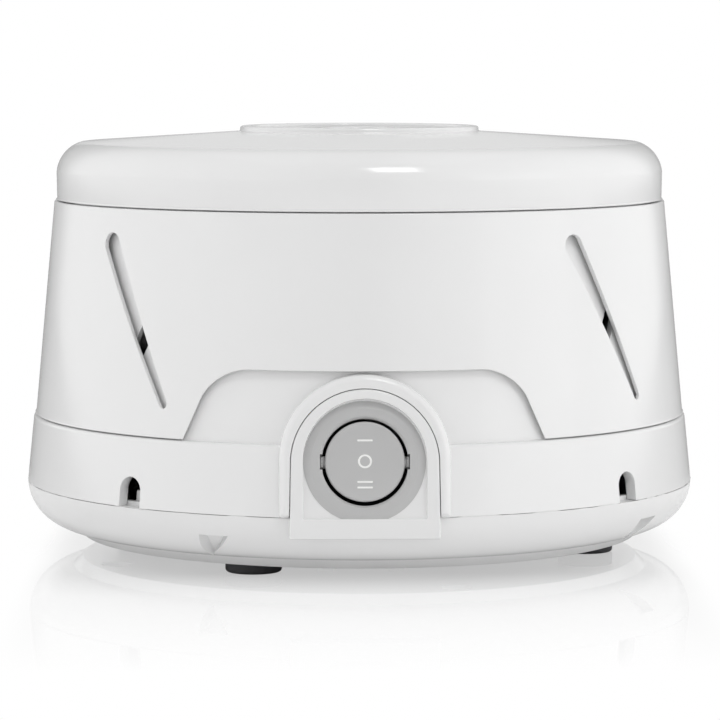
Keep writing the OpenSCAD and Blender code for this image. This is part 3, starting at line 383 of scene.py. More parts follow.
def wedgeBlock(inner, outer, span, low, high):
    # a slice of a ring, for the vents
    piece = rod(outer, low, high, "wedge", 120)
    cutWith(piece, rod(inner, low - 1, high + 1, "bore", 64))
    for side in (-1, 1):
        slab = block((3 * outer, 3 * outer, 3 * (high - low)), (0, 1.5 * outer, (low + high) / 2))
        place(slab, Matrix.Rotation(math.radians(side * (90 - span / 2)), 4, "Z"))
        cutWith(piece, slab)
    return piece


def cutVents(piece, turn, low, high):
    for index in range(cap["vents"]):
        wedge = wedgeBlock(cap["ventInner"], cap["ventOuter"], 180 / cap["vents"], low, high)
        place(wedge, aboutZ(turn + index * 360 / cap["vents"]))
        cutWith(piece, wedge)


def makeCap():
    lid, wall, shoulder = case["lidHeight"], cap["wall"], cap["shoulder"]
    turn = cap["creaseTurn"]
    centreZ = case["creaseHeight"] - shoulder * math.sin(math.radians(turn))
    startZ = centreZ + shoulder * math.sin(lean)
    centreR = wallRadius(startZ) + case["capProud"] - shoulder * math.cos(lean)
    edge = wallRadius(lid) + case["capProud"]
    ring, hub = cap["ringDiameter"] / 2, cap["hubDiameter"] / 2
    inner, under = ring - cap["ringWall"], ring - cap["ringSet"]
    hubTop, hubInner = topHeight - cap["hubDrop"], hub - cap["hubWall"]
    shelf = wellTop + cap["hubShelf"]
    corners = [(edge, lid, 0.35)]
    corners += arc(centreR, centreZ, shoulder, case["wallLean"], turn, 12)
    corners += [
        (ring, case["crownHeight"], 0.5), (ring, topHeight, 0.6), (inner, topHeight, 0.5),
        (inner, wellTop, 0.5), (hub, wellTop, 0.4), (hub, hubTop, 0.45),
        (hubInner, hubTop, 0.4), (hubInner, shelf), (cap["pivotRadius"], shelf),
        (cap["pivotRadius"], wellUnder), (under, wellUnder, 0.4), (under, case["crownHeight"] - wall),
    ]
    corners += arc(centreR, centreZ, shoulder - wall, turn, case["wallLean"], 10)
    corners += [(edge - wall, lid, 0.35)]
    shell = turned("cap_shell", rounded(corners))
    cutVents(shell, cap["ventTurn"], wellUnder - 1, wellTop + 1)
    softEdges(shell, cap["edge"])
    smoothFaces(shell, 13)
    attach(shell, "cap")
    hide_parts("top_cap")
    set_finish(shell, "white_plastic")


# collar
collar = {
    "slotMiddle": 52,
    "slotSpan": 35.1,
    "slotSlope": 29,
    "slotTop": 4.7,
    "slotLow": 1.8,
    "slotSpread": 0.3,
    "slotTurn": 2.3,
    "slotInset": 16,
    "slotDepth": 20,
    "cutoutHalf": 37,
    "cutoutTopHalf": 23.6,
    "cutoutCorner": 10.5,
    "cutoutHeight": 14.9,
    "edge": 0.28,
}
housingSlots = {"width": 3.6, "turn": 4.6}


def cutSlots(piece, turn, slope, topWidth, lowWidth):
    length = (collar["slotSpan"] - (topWidth + lowWidth) / 2) / math.cos(math.radians(slope))
    for half in (0, 180):
        for side in (-1, 1):
            slot = taperSlot(length, topWidth / 2, lowWidth / 2, collar["slotDepth"])
            lie = Matrix.Rotation(math.radians(slope), 4, "Z")
            stand = facingFront(case["baseDiameter"] / 2 - collar["slotInset"], collar["slotMiddle"])
            where = half + side * (45 + collar["slotSpread"]) + turn
            place(slot, aboutZ(where) @ stand @ lie)
            cutWith(piece, slot)


def cutoutBlock():
    # a tapered block whose upper edges are rounded
    top, corner = collar["cutoutHeight"], collar["cutoutCorner"]
    half, topHalf = collar["cutoutHalf"], collar["cutoutTopHalf"]
    centreY = top - corner
    reach = half - topHalf
    away = math.hypot(reach, centreY)
    turn = math.acos(corner / away) - math.atan2(centreY, reach)
    slope = math.pi / 2 - turn  # of the side from the horizontal
    tangentX = topHalf + corner * math.cos(turn)
    tangentY = centreY + corner * math.sin(turn)
    peakX = tangentX - (top - tangentY) / math.tan(slope)
    below, deep = 4, 80  # how far the block passes the collar's lower edge and its front
    footX = half + below / math.tan(slope)
    piece = block((2 * footX, top + below, deep), (0, (top - below) / 2, deep / 2), "cutout")
    selectWhere(piece, lambda at: at.y > top - 0.01)
    bpy.ops.transform.resize(value=(peakX / footX, 1, 1), center_override=(0, 0, 0))
    bpy.ops.object.mode_set(mode="OBJECT")
    roundTop(piece, top, peakX - topHalf)
    return piece


def roundTop(piece, top, offset):
    bpy.ops.object.mode_set(mode="EDIT")
    bpy.ops.mesh.select_mode(type="EDGE")
    bpy.ops.mesh.select_all(action="DESELECT")
    bpy.ops.object.mode_set(mode="OBJECT")
    for edge in piece.data.edges:
        ends = [piece.data.vertices[index].co / mm for index in edge.vertices]
        edge.select = all(end.y > top - 0.01 for end in ends) and abs(ends[0].x - ends[1].x) < 0.01
    bpy.ops.object.mode_set(mode="EDIT")
    bpy.ops.mesh.bevel(offset=offset * mm, segments=16, affect="EDGES")
    bpy.ops.mesh.select_mode(type="VERT")
    bpy.ops.object.mode_set(mode="OBJECT")


def makeCollar():
    low = case["ledgeHeight"] + case["seamGap"]
    high = case["lidHeight"] - case["seamGap"]
    shell = turned("collar_shell", rounded([
        (collarOuter(low), low, 0.35), (collarOuter(high), high, 0.35),
        (collarInner(high), high, 0.2), (collarInner(low), low, 0.2),
    ]))
    cutSlots(shell, collar["slotTurn"], collar["slotSlope"], collar["slotTop"], collar["slotLow"])
    cutter = cutoutBlock()
    place(cutter, facingFront(0, case["ledgeHeight"]))
    cutWith(shell, cutter)
    cleanUp(shell, 0.03)
    softEdges(shell, collar["edge"])
    smoothFaces(shell, 32)
    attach(shell, "collar")
    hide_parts("side_collar")
    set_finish(shell, "white_plastic")


# flat front and switch frames
front = {
    "rise": 11.7,
    "proud": 0.3,
    "bossHalf": 17.3,
    "bossDepth": 6.2,
    "bossFoot": 0.3,
    "tongueHalf": 14.95,
    "tongueFootHalf": 15.2,
    "tongueThick": 3.2,
    "tongueFoot": 4.1,
    "tongueDrop": 0.7,
    "tongueGap": 0.12,
    "pocketHalf": 12.45,
    "pocketCentre": -0.2,
    "pocketFlat": 11.8,
    "pocketLean": 3.7,
    "pocketStep": 0.5,
    "switchDrop": 0.4,
    "barrelHole": 10.05,
}
switchHeight = case["seamHeight"] + front["rise"]
frontRadius = wallRadius(switchHeight) + front["proud"]
pocketLean = math.radians(front["pocketLean"])
pocketMid = front["pocketFlat"] * math.tan(pocketLean)
onFront = (
    Matrix.Translation((0, -frontRadius * mm, switchHeight * mm))
    @ Matrix.Rotation(math.radians(90) - lean, 4, "X")
)
onPocket = onFront @ Matrix.Translation((0, 0, -pocketMid * mm)) @ Matrix.Rotation(-pocketLean, 4, "X")
onSwitch = onPocket @ Matrix.Translation((0, -front["switchDrop"] * mm, 0))
slopedRise = front["rise"] / math.cos(lean)
tongueLow = (front["rise"] + front["tongueFoot"]) / math.cos(lean)


# acoustic housing
housing = {
    "windowWidth": 5.7,
    "windowHeight": 6.2,
    "windowTurn": 3.9,
    "windowSpread": 0.4,
    "postRadius": 3.6,
    "postPlace": 56.1,
    "postFoot": 8,
    "postDrop": 4,
    "screwAngles": (20, 110, 200, 290),
    "windowInset": 7,
    "windowDepth": 9,
    "inletHeight": 21.5,
    "inletRadius": 5,
    "inletStart": 64,
    "inletDepth": 12,
    "inletPad": 6.8,
    "inletPadDepth": 3.6,
    "inletFace": 72.5,
    "railGap": 0.3,
    "railDrop": 4,
    "railLevels": (0.4, 2, 2.4),  # where the rail's lower slope ends, its rim ends and its upper slope ends
    "railFoot": 2.4,
    "pivotRadius": 5,
    "pivotBore": 1.5,
    "pivotRise": 1.3,
    "bossEdge": 1.5,
    "edge": 0.2,
}


def windowAngles():
    spread = 45 + housing["windowSpread"]
    return [half + side * spread + housing["windowTurn"] for half in (0, 180) for side in (-1, 1)]


def makeHousing():
    seam, ledge, lid = case["seamHeight"], case["ledgeHeight"], case["lidHeight"]
    half, band = case["baseDiameter"] / 2, case["bandWall"]
    gap, pivot, bore = housing["railGap"], housing["pivotRadius"], housing["pivotBore"]
    railLow = lid - housing["railDrop"]
    railStart, railEnd, railHigh = (railLow + rise for rise in housing["railLevels"])
    footTop, bandUnder, pivotTop = ledge + housing["railFoot"], ledge - band, wellTop + housing["pivotRise"]
    shell = turned("housing_shell", rounded([
        (half, seam, 0.05), (wallRadius(ledge), ledge, 0.9), (collarInner(ledge) - gap, ledge, 0.2),
        (housingOuter(footTop), footTop), (housingOuter(railLow), railLow),
        (collarInner(railStart) - gap, railStart, 0.1), (collarInner(railEnd) - gap, railEnd, 0.1),
        (housingOuter(railHigh), railHigh), (housingOuter(deckHeight), deckHeight, 2.6),
        (pivot, deckHeight, 0.4), (pivot, pivotTop, 0.3), (bore, pivotTop), (bore, deckUnder),
        (housingInner(deckUnder), deckUnder, 1.2), (housingInner(ledge), ledge),
        (housingInner(ledge), bandUnder), (wallRadius(bandUnder) - band, bandUnder), (half - band, seam),
    ]))
    boss = archBlock(
        front["bossHalf"], 0, front["bossFoot"] - slopedRise, front["bossHalf"],
        -front["bossDepth"], 0, housing["bossEdge"])
    joinTo(shell, place(boss, onFront))
    pad = rod(housing["inletPad"], 0, housing["inletPadDepth"], "pad")
    padStart = housing["inletFace"] - housing["inletPadDepth"]
    joinTo(shell, place(pad, facingBack(padStart, housing["inletHeight"])))
    for angle in housing["screwAngles"]:
        post = rod(housing["postRadius"], housing["postFoot"], ledge - housing["postDrop"], "post", 48)
        joinTo(shell, place(post, outAt(angle, housing["postPlace"])))
    cutSlots(shell, housingSlots["turn"], -collar["slotSlope"], housingSlots["width"], housingSlots["width"])
    cutVents(shell, 0, deckUnder - 1, deckHeight + 1)
    for angle in windowAngles():
        radius = housing["windowWidth"] / 2
        window = archBlock(radius, housing["windowHeight"] - radius, -1, radius, 0, housing["windowDepth"])
        place(window, aboutZ(angle) @ facingFront(half - housing["windowInset"], seam))
        cutWith(shell, window)
    channel = archBlock(
        front["tongueHalf"] + front["tongueGap"], -front["tongueDrop"], -tongueLow,
        front["tongueFootHalf"] + front["tongueGap"], -front["bossDepth"] - 2, 2)
    cutWith(shell, place(channel, onFront))
    # the boss ends at the seam
    under = block((2 * front["bossHalf"] + 2, front["bossDepth"] + 5, 4), (0, -half + 3, seam - 2))
    cutWith(shell, under)
    inlet = rod(housing["inletRadius"], 0, housing["inletDepth"], "inlet")
    cutWith(shell, place(inlet, facingBack(housing["inletStart"], housing["inletHeight"])))
    cleanUp(shell, 0.03)
    softEdges(shell, housing["edge"], 2, 50)
    smoothFaces(shell, 32)
    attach(shell, "base")
    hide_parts("acoustic_housing")
    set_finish(shell, "white_plastic")


# bottom pan
pan = {
    "wall": 2.4,
    "inset": 0.1,
    "plinth": 2.1,
    "lipOuter": 70.25,
    "lipWall": 1.8,
    "lipRise": 0.9,
    "footPlace": 51.9,
    "footHole": 2.4,
    "footDepth": 6,
    "footAngles": (-26, 69.3, 154, 249.3),
    "wellRadius": 4.6,
    "wellTop": 8,
    "screwHoles": ((3.2, 5.8), (1.5, 9)),  # radius and top of the head's recess and of the screw's hole
    "mountAngles": (60, 180, 300),
    "mountPlace": 40,
    "mountRadius": 5,
    "mountTop": 12,
    "vents": 12,
    "ventPlace": 23,
    "ventLength": 12,
    "ventRadius": 1.7,
    "ventDepth": 6,
    "notchAngles": (-25.3, 57, 154.7, 237),
    "notchWidth": 8.2,
    "notchDepth": 1.7,
    "notchTop": 3,
    "notchTip": -5.6,
    "notchSkew": -4.1,
    "notchFloor": (0.6, 0.85, 1),  # size of the notch's floor to its mouth
    "tongueEdge": 0.4,
    "edge": 0.22,
    "lugDrop": 2,
    "lugs": (  # size and middle of each block
        ((3.0, 0.9, 5.2), (-0.4, 1.6, 2.6)),
        ((1.5, 0.9, 6.4), (0.35, 1.6, 3.2)),
        ((1.3, 2.4, 3.2), (1.2, 0.9, 1.6)),
    ),
}


def makeLugs(shell):
    # a hook and a small block stand in each window
    for angle in windowAngles():
        spot = (0, -pan["lipOuter"] * mm, (case["seamHeight"] - pan["lugDrop"]) * mm)
        lie = aboutZ(angle) @ Matrix.Translation(spot) @ Matrix.Rotation(-lean, 4, "X")
        for size, centre in pan["lugs"]:
            joinTo(shell, place(block(size, centre, "lug"), lie))


def makeNotches(shell, curveRadius, arcRadius):
    # a triangle with sloping sides, cut square to the curve
    width, top, tip = pan["notchWidth"], pan["notchTop"], pan["notchTip"]
    deep = pan["notchDepth"] + 0.5
    lift = (curveRadius - pan["notchDepth"]) * mm
    for angle in pan["notchAngles"]:
        notch = block((width, top - tip, deep), (0, (top + tip) / 2, deep / 2), "notch")
        selectWhere(notch, lambda at: at.y < tip + 0.01)
        bpy.ops.transform.resize(value=(0, 1, 1), center_override=(pan["notchSkew"] * mm, 0, 0))
        bpy.ops.mesh.select_all(action="SELECT")
        bpy.ops.mesh.remove_doubles(threshold=0.01 * mm)
        selectWhere(notch, lambda at: at.z < 0.01)
        bpy.ops.transform.resize(value=pan["notchFloor"], center_override=(0, top * mm, 0))
        bpy.ops.object.mode_set(mode="OBJECT")
        place(notch, aboutZ(angle) @ Matrix.Translation((0, -arcRadius * mm, case["seamHeight"] * mm))
              @ Matrix.Rotation(math.radians(135), 4, "X") @ Matrix.Translation((0, 0, lift)))
        cutWith(shell, notch)


def makePan():
    seam, floor, wall = case["seamHeight"], case["floorHeight"], pan["wall"]
    curveRadius = seam - floor - pan["plinth"]
    arcRadius = case["baseDiameter"] / 2 - pan["inset"] - curveRadius
    floorEdge = arcRadius - pan["plinth"]
    lipOuter, lipInner = pan["lipOuter"], pan["lipOuter"] - pan["lipWall"]
    corners = [(0, floor), (floorEdge, floor, 0.4), (arcRadius, seam - curveRadius, 0.5)]
    corners += arc(arcRadius, seam, curveRadius, -84, -2, 14)
    corners += [
        (arcRadius + curveRadius, seam, 0.05), (lipOuter, seam), (lipOuter, seam + pan["lipRise"], 0.2),
        (lipInner, seam + pan["lipRise"], 0.2), (lipInner, seam - 3),
    ]
    corners += arc(arcRadius, seam, curveRadius - wall, -28, -88, 8)
    corners += [(floorEdge + 1, floor + wall, 0.5), (0, floor + wall)]
    shell = turned("pan_shell", rounded(corners, closed=False))
    tongue = archBlock(
        front["tongueHalf"], -front["tongueDrop"], -tongueLow, front["tongueFootHalf"],
        -front["tongueThick"], 0, pan["tongueEdge"])
    joinTo(shell, place(tongue, onFront))
    makeLugs(shell)
    for angle in housing["screwAngles"]:
        well = rod(pan["wellRadius"], floor + 0.5, pan["wellTop"], "well", 48)
        joinTo(shell, place(well, outAt(angle, housing["postPlace"])))
    for angle in pan["mountAngles"]:
        post = rod(pan["mountRadius"], floor + 1, pan["mountTop"], "post", 48)
        joinTo(shell, place(post, outAt(angle, pan["mountPlace"])))
    pocket = archBlock(
        front["pocketHalf"], front["pocketCentre"], -front["pocketFlat"], front["pocketHalf"], 0, 10)
    cutWith(shell, place(pocket, onPocket @ Matrix.Translation((0, 0, -front["pocketStep"] * mm))))
    cutWith(shell, place(rod(front["barrelHole"], -8, 2, "barrelHole", 96), onSwitch))
    for angle in housing["screwAngles"]:
        for radius, top in pan["screwHoles"]:
            hole = rod(radius, 0, top, "hole", 48)
            cutWith(shell, place(hole, outAt(angle, housing["postPlace"])))
    for angle in pan["footAngles"]:
        hole = rod(pan["footHole"], 0, pan["footDepth"], "hole", 48)
        cutWith(shell, place(hole, outAt(angle, pan["footPlace"])))
    pitch = 360 / pan["vents"]
    for index in range(pan["vents"]):
        vent = taperSlot(pan["ventLength"], pan["ventRadius"], pan["ventRadius"], pan["ventDepth"])
        cutWith(shell, place(vent, outAt(pitch / 2 + pitch * index, pan["ventPlace"])))
    cleanUp(shell, 0.03)
    softEdges(shell, pan["edge"], 2, 45)
    makeNotches(shell, curveRadius, arcRadius)
    smoothFaces(shell, 32)
    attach(shell, "base")
    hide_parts("bottom_pan")
    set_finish(shell, "white_plastic")


# feet
foot = {
    "radius": 5.9,
    "height": 2.6,
    "edge": 0.7,
    "dishRadius": 4.2,
    "dishSlope": 0.6,
    "dish": 0.35,
    "stem": 2.4,
    "neck": 2.6,
    "barb": 0.6,
    "stemTop": 7.4,
}


def makeFoot(name, angle):
    radius, height, stem = foot["radius"], foot["height"], foot["stem"]
    dish, neck, barb = foot["dishRadius"], height + foot["neck"], foot["barb"]
    piece = turned(name + "_pad", rounded([
        (0, foot["dish"]), (dish - foot["dishSlope"], foot["dish"], 0.2), (dish, 0, 0.2),
        (radius, 0, foot["edge"]), (radius, height, 0.25), (stem, height), (stem, neck),
        (stem + barb, neck, 0.1), (stem - barb, foot["stemTop"], 0.2), (0, foot["stemTop"]),
    ], closed=False), 96)
    place(piece, outAt(angle, pan["footPlace"]))
    smoothFaces(piece, 32)
    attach(piece, "base")
    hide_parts(name)
    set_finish(piece, "foot_rubber")


# switch
switch = {
    "flange": 12.3,
    "flangeThick": 0.6,
    "flangeShift": -0.1,
    "sink": 0.5,
    "slope": 1.5,
    "holeEdge": 0.5,
    "hole": 8.75,
    "barrel": 10,
    "barrelLength": 18,
    "latch": (1.8, 5, 4.2),
    "latchProud": 0.3,
    "latchDrop": 2.9,
    "flat": 8.55,
    "pivot": -2.8,
    "lift": 0.1,
    "lugReach": 8.9,
    "lugHalf": 1,
    "lugRoom": 0.55,
    "lugEndRoom": 0.15,
    "lugSize": (0.5, 1.5),
    "rocker": 8.05,
    "face": 0.55,
    "dishRadius": 36,
    "dish": 0.9,
    "rim": 0.5,
    "shoulder": -2.6,
    "skirtLow": -5,
    "skirtUnder": -1.8,
    "skirtOuter": 0.7,
    "skirtInner": 1.7,
    "trunnion": 1.25,
    "trunnionPlace": 8.1,
    "trunnionLength": 3,
}


def flattenHole(piece, hole, flat, rim):
    # the hole's left and right are pushed in to a flat, and its rounded rim with them
    radii = sorted({round(math.hypot(vertex.co.x, vertex.co.y) / mm, 3) for vertex in piece.data.vertices})
    for radius in (value for value in radii if value < hole + rim + 0.01):
        wall = flat + radius - hole
        for side in (-1, 1):
            selectWhere(
                piece, lambda at: abs(math.hypot(at.x, at.y) - radius) < 0.002 and side * at.x > wall)
            bpy.ops.transform.resize(value=(0, 1, 1), center_override=(side * wall * mm, 0, 0))
    bpy.ops.object.mode_set(mode="OBJECT")


def makeBezel():
    flange, thick, hole = switch["flange"], switch["flangeThick"], switch["hole"]
    bottom = -switch["barrelLength"]
    piece = turned("bezel_ring", rounded([
        (hole, thick - switch["holeEdge"], 0.2), (hole + switch["holeEdge"], thick, 0.4),
        (flange - switch["slope"], thick, 0.8), (flange, 0.1, 0.1), (flange, 0),
        (switch["barrel"], 0), (switch["barrel"], bottom, 0.3), (hole, bottom, 0.2),
    ]), 128)
    flattenHole(piece, hole, switch["flat"], switch["holeEdge"])
    # the flange sits a little to one side in its pocket
    selectWhere(piece, lambda at: math.hypot(at.x, at.y) > switch["barrel"] + 0.5)
    bpy.ops.transform.translate(value=(switch["flangeShift"] * mm, 0, 0))
    bpy.ops.object.mode_set(mode="OBJECT")
    latchX, latchZ = switch["barrel"] + switch["latchProud"], -front["tongueThick"] - switch["latchDrop"]
    for side in (-1, 1):
        joinTo(piece, block(switch["latch"], (side * latchX, 0, latchZ)))
    # a slot lets the rocker's side lugs in
    reach = switch["lugReach"] + switch["lugEndRoom"]
    half = switch["lugHalf"] + switch["lugRoom"]
    cutWith(piece, block((2 * reach, 2 * half, 8), (0, switch["lift"], switch["pivot"] + switch["sink"] + 4)))
    place(piece, onSwitch @ Matrix.Translation((0, 0, -switch["sink"] * mm)))
    smoothFaces(piece, 32)
    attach(piece, "base")
    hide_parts("switch_bezel")
    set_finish(piece, "grey_plastic")


def makeRocker():
    radius, face, reach = switch["rocker"], switch["face"], switch["dishRadius"]
    outer, inner = radius - switch["skirtOuter"], radius - switch["skirtInner"]
    shoulder, low, under = switch["shoulder"], switch["skirtLow"], switch["skirtUnder"]
    piece = turned("rocker_cap", [
        (0, face + 1), (radius, face + 1), (radius, shoulder), (outer, shoulder), (outer, low),
        (inner, low), (inner, under), (0, under),
    ], 128)
    barrel = rod(reach, -radius - 2, radius + 2, "dish", 720)
    place(barrel, Matrix.Translation((0, 0, (reach + face - switch["dish"]) * mm))
          @ Matrix.Rotation(math.radians(90), 4, "Y"))
    cutWith(piece, barrel)
    softEdges(piece, switch["rim"], 4, 40)
    lugWide, lugHigh = switch["lugSize"]
    lugX, lugZ = switch["lugReach"] - lugWide / 2, switch["pivot"] + lugHigh / 2
    pinX, pinLength = switch["trunnionPlace"], switch["trunnionLength"]
    for side in (-1, 1):
        joinTo(piece, block((lugWide, 2 * switch["lugHalf"], lugHigh), (side * lugX, 0, lugZ)))
        pin = rod(switch["trunnion"], 0, pinLength, "pin", 48)
        spot = (side * pinX * mm - pinLength / 2 * mm, 0, switch["pivot"] * mm)
        joinTo(piece, place(pin, Matrix.Translation(spot) @ Matrix.Rotation(math.radians(90), 4, "Y")))
    place(piece, onSwitch @ Matrix.Translation((0, switch["lift"] * mm, 0)))
    smoothFaces(piece, 28)
    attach(piece, "rocker")
    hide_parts("rocker")
    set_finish(piece, "grey_plastic")


marks = {
    "one": (4.3,),
    "two": (-4.07, -5.2),
    "long": 3.1,
    "thick": 0.42,
    "deep": 0.3,
    "edge": 0.06,
    "ring": 1.42,
    "ringRise": 0.1,
    "stroke": 0.42,
    "proud": 0.03,
}


def dishLevel(across):
    # height of the rocker's dished face at a place up its face
    reach = switch["dishRadius"]
    return min(switch["face"], switch["face"] - switch["dish"] + reach - math.sqrt(reach ** 2 - across ** 2))


def makeMarks():
    strokes, deep = [], marks["deep"]
    for across in marks["one"] + marks["two"]:
        middle = dishLevel(across) + marks["proud"] - deep / 2
        bar = block((marks["long"], marks["thick"], deep), (0, across, middle), "bar")
        applyModifier(bar, "BEVEL", width=marks["edge"] * mm, segments=2)
        strokes.append(bar)
    outer, inner = marks["ring"], marks["ring"] - marks["stroke"]
    level = dishLevel(0) + marks["proud"]
    ring = turned("ring", rounded([
        (outer, level - deep), (outer, level, 0.05), (inner, level, 0.05), (inner, level - deep)]), 64)
    place(ring, Matrix.Translation((0, marks["ringRise"] * mm, 0)))
    deselectAll()
    for stroke in strokes:
        stroke.select_set(True)
    ring.select_set(True)
    bpy.context.view_layer.objects.active = ring
    bpy.ops.object.join()
    ring.name = "switch_marks"
    place(ring, onSwitch @ Matrix.Translation((0, switch["lift"] * mm, 0)))
    smoothFaces(ring, 32)
    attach(ring, "rocker")
    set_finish(ring, "white_plastic")
    return ring


# cord bush and screws
bush = {
    "outer": 6.4,
    "hole": 3.2,
    "face": -1.3,
    "faceSet": 0.9,
    "rim": -0.5,
    "neck": 5,
    "neckEnd": 3.65,
    "barb": 5.6,
    "end": 5.65,
}
caseScrew = {"low": 4.0, "high": 5.8, "radius": 2.9, "shaft": 1.3, "length": 11, "recess": 1.6}
capScrew = {
    "washer": 0.8,
    "rise": 1.8,
    "domeRadius": 2.4,
    "domeRise": 1.65,
    "radius": 4,
    "rimRise": 0.7,
    "shaft": 1.5,
    "recess": 2.0,
}
crossCut = {"width": 0.8, "depth": 1.1, "taper": (0.45, 0.6, 1), "edge": 0.06}


def makeBush():
    outer, hole, neck, barb = bush["outer"], bush["hole"], bush["neck"], bush["barb"]
    face, neckEnd, end = bush["face"], bush["neckEnd"], bush["end"]
    piece = turned("inlet_bush", rounded([
        (hole, face, 0.5), (outer - bush["faceSet"], face, 0.4), (outer, bush["rim"], 0.4), (outer, 0),
        (neck, 0), (neck, neckEnd), (barb, neckEnd, 0.1), (barb, end, 0.3), (hole, end, 0.3),
    ]), 96)
    place(piece, facingFront(-housing["inletFace"], housing["inletHeight"]))
    smoothFaces(piece, 32)
    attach(piece, "base")
    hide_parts("cord_bush")
    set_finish(piece, "black_nylon")


def crossRecess(reach, top, upward):
    # a cross of two tapered bars, cut into a screw head
    bars = []
    for turn in (0, 90):
        bar = block((2 * reach, crossCut["width"], 2 * crossCut["depth"]), (0, 0, top))
        selectWhere(bar, lambda at: (at.z < top) == upward)
        bpy.ops.transform.resize(value=crossCut["taper"], center_override=(0, 0, 0))
        bpy.ops.object.mode_set(mode="OBJECT")
        bars.append(place(bar, Matrix.Rotation(math.radians(turn), 4, "Z")))
    joinTo(bars[0], bars[1])
    return bars[0]


def makeScrewHead(name, profile, top, upward, reach, copies):
    pieces = []
    for spot in copies:
        head = turned(name, profile, 64)
        cutWith(head, crossRecess(reach, top, upward))
        softEdges(head, crossCut["edge"], 2, 50)
        place(head, Matrix.Translation([value * mm for value in spot]))
        pieces.append(head)
    deselectAll()
    for head in pieces:
        head.select_set(True)
    bpy.context.view_layer.objects.active = pieces[0]
    if len(pieces) > 1:
        bpy.ops.object.join()
    pieces[0].name = name
    smoothFaces(pieces[0], 32)
    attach(pieces[0], "base")
    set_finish(pieces[0], "zinc_steel")
    return pieces[0]


def makeScrews():
    radians = [math.radians(angle) for angle in housing["screwAngles"]]
    spots = [(housing["postPlace"] * math.sin(a), -housing["postPlace"] * math.cos(a), 0) for a in radians]
    low, high, radius, shaft = (caseScrew[key] for key in ("low", "high", "radius", "shaft"))
    end = high + caseScrew["length"]
    profile = rounded([
        (0, low), (radius, low, 0.6), (radius, high), (shaft, high), (shaft, end), (0, end)], closed=False)
    heads = makeScrewHead("case_screw_heads", profile, low, False, caseScrew["recess"], spots)
    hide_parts("case_screws")
    seat = wellTop + housing["pivotRise"] + capScrew["washer"]
    top, radius, shaft = seat + capScrew["rise"], capScrew["radius"], capScrew["shaft"]
    profile = rounded([
        (0, top), (capScrew["domeRadius"], seat + capScrew["domeRise"], 0.5),
        (radius, seat + capScrew["rimRise"], 0.4), (radius, seat, 0.15), (shaft, seat),
        (shaft, deckUnder), (0, deckUnder)], closed=False)
    cover = makeScrewHead("cap_screw_head", profile, top, True, capScrew["recess"], [(0, 0, 0)])
    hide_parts("cap_screw")


makeCap()
makeCollar()
print("cap and collar made")
makeHousing()
print("housing made")
makePan()
print("pan made")
footNames = ("foot_front_left", "foot_front_right", "foot_rear_right", "foot_rear_left")
for footName, footAngle in zip(footNames, pan["footAngles"]):
    makeFoot(footName, footAngle)
makeBezel()
makeRocker()
printedMarks = makeMarks()
makeBush()
makeScrews()
print("switch, feet, bush and screws made")


# materials
def tone(code):
    # sRGB hex to linear
    values = [int(code[index:index + 2], 16) / 255 for index in (1, 3, 5)]
    return tuple(v / 12.92 if v <= 0.04045 else ((v + 0.055) / 1.055) ** 2.4 for v in values) + (1,)


def addNode(tree, kind, settings=None, links=None):
    node = tree.nodes.new(kind)
    for key, value in (settings or {}).items():
        if isinstance(key, int) or key in node.inputs:
            node.inputs[key].default_value = value
        else:
            setattr(node, key, value)
    for key, socket in (links or {}).items():
        tree.links.new(socket, node.inputs[key])
    return node


def startMaterial(name, settings):
    material = bpy.data.materials.new(name)
    material.use_nodes = True
    tree = material.node_tree
    tree.nodes.clear()
    shader = addNode(tree, "ShaderNodeBsdfPrincipled", settings)
    addNode(tree, "ShaderNodeOutputMaterial", links={"Surface": shader.outputs["BSDF"]})
    where = addNode(tree, "ShaderNodeTexCoord")
    return material, tree, shader, where.outputs["Object"]


def perMillimetre(size):
    # noise scale whose features are about this many millimetres
    return 1 / (size * mm)


def joinUp(tree, shader, colour, lift, gloss=None):
    tree.links.new(colour.outputs[2], shader.inputs["Base Color"])
    tree.links.new(lift.outputs["Normal"], shader.inputs["Normal"])
    if gloss:
        tree.links.new(gloss.outputs["Result"], shader.inputs["Roughness"])


def mouldedPlastic(name, light, dark, roughness, grain, bump):
    # injection moulded: faint flow marks in the colour, fine orange peel in the gloss
    material, tree, shader, where = startMaterial(name, {"Metallic": 0, "IOR": 1.53})
    flow = addNode(tree, "ShaderNodeTexNoise", {"Scale": perMillimetre(18), "Detail": 2, "Roughness": 0.5},
                   {"Vector": where})
    colour = addNode(tree, "ShaderNodeMix", {"data_type": "RGBA", 6: tone(dark), 7: tone(light)},
                     {0: flow.outputs["Fac"]})
    peel = addNode(tree, "ShaderNodeTexNoise", {"Scale": perMillimetre(grain), "Detail": 3, "Roughness": 0.6},
                   {"Vector": where})
    gloss = addNode(tree, "ShaderNodeMapRange", {"To Min": roughness - 0.03, "To Max": roughness + 0.03},
                    {"Value": peel.outputs["Fac"]})
    lift = addNode(tree, "ShaderNodeBump", {"Strength": bump, "Distance": 0.02 * mm},
                   {"Height": peel.outputs["Fac"]})
    joinUp(tree, shader, colour, lift, gloss)
    return material


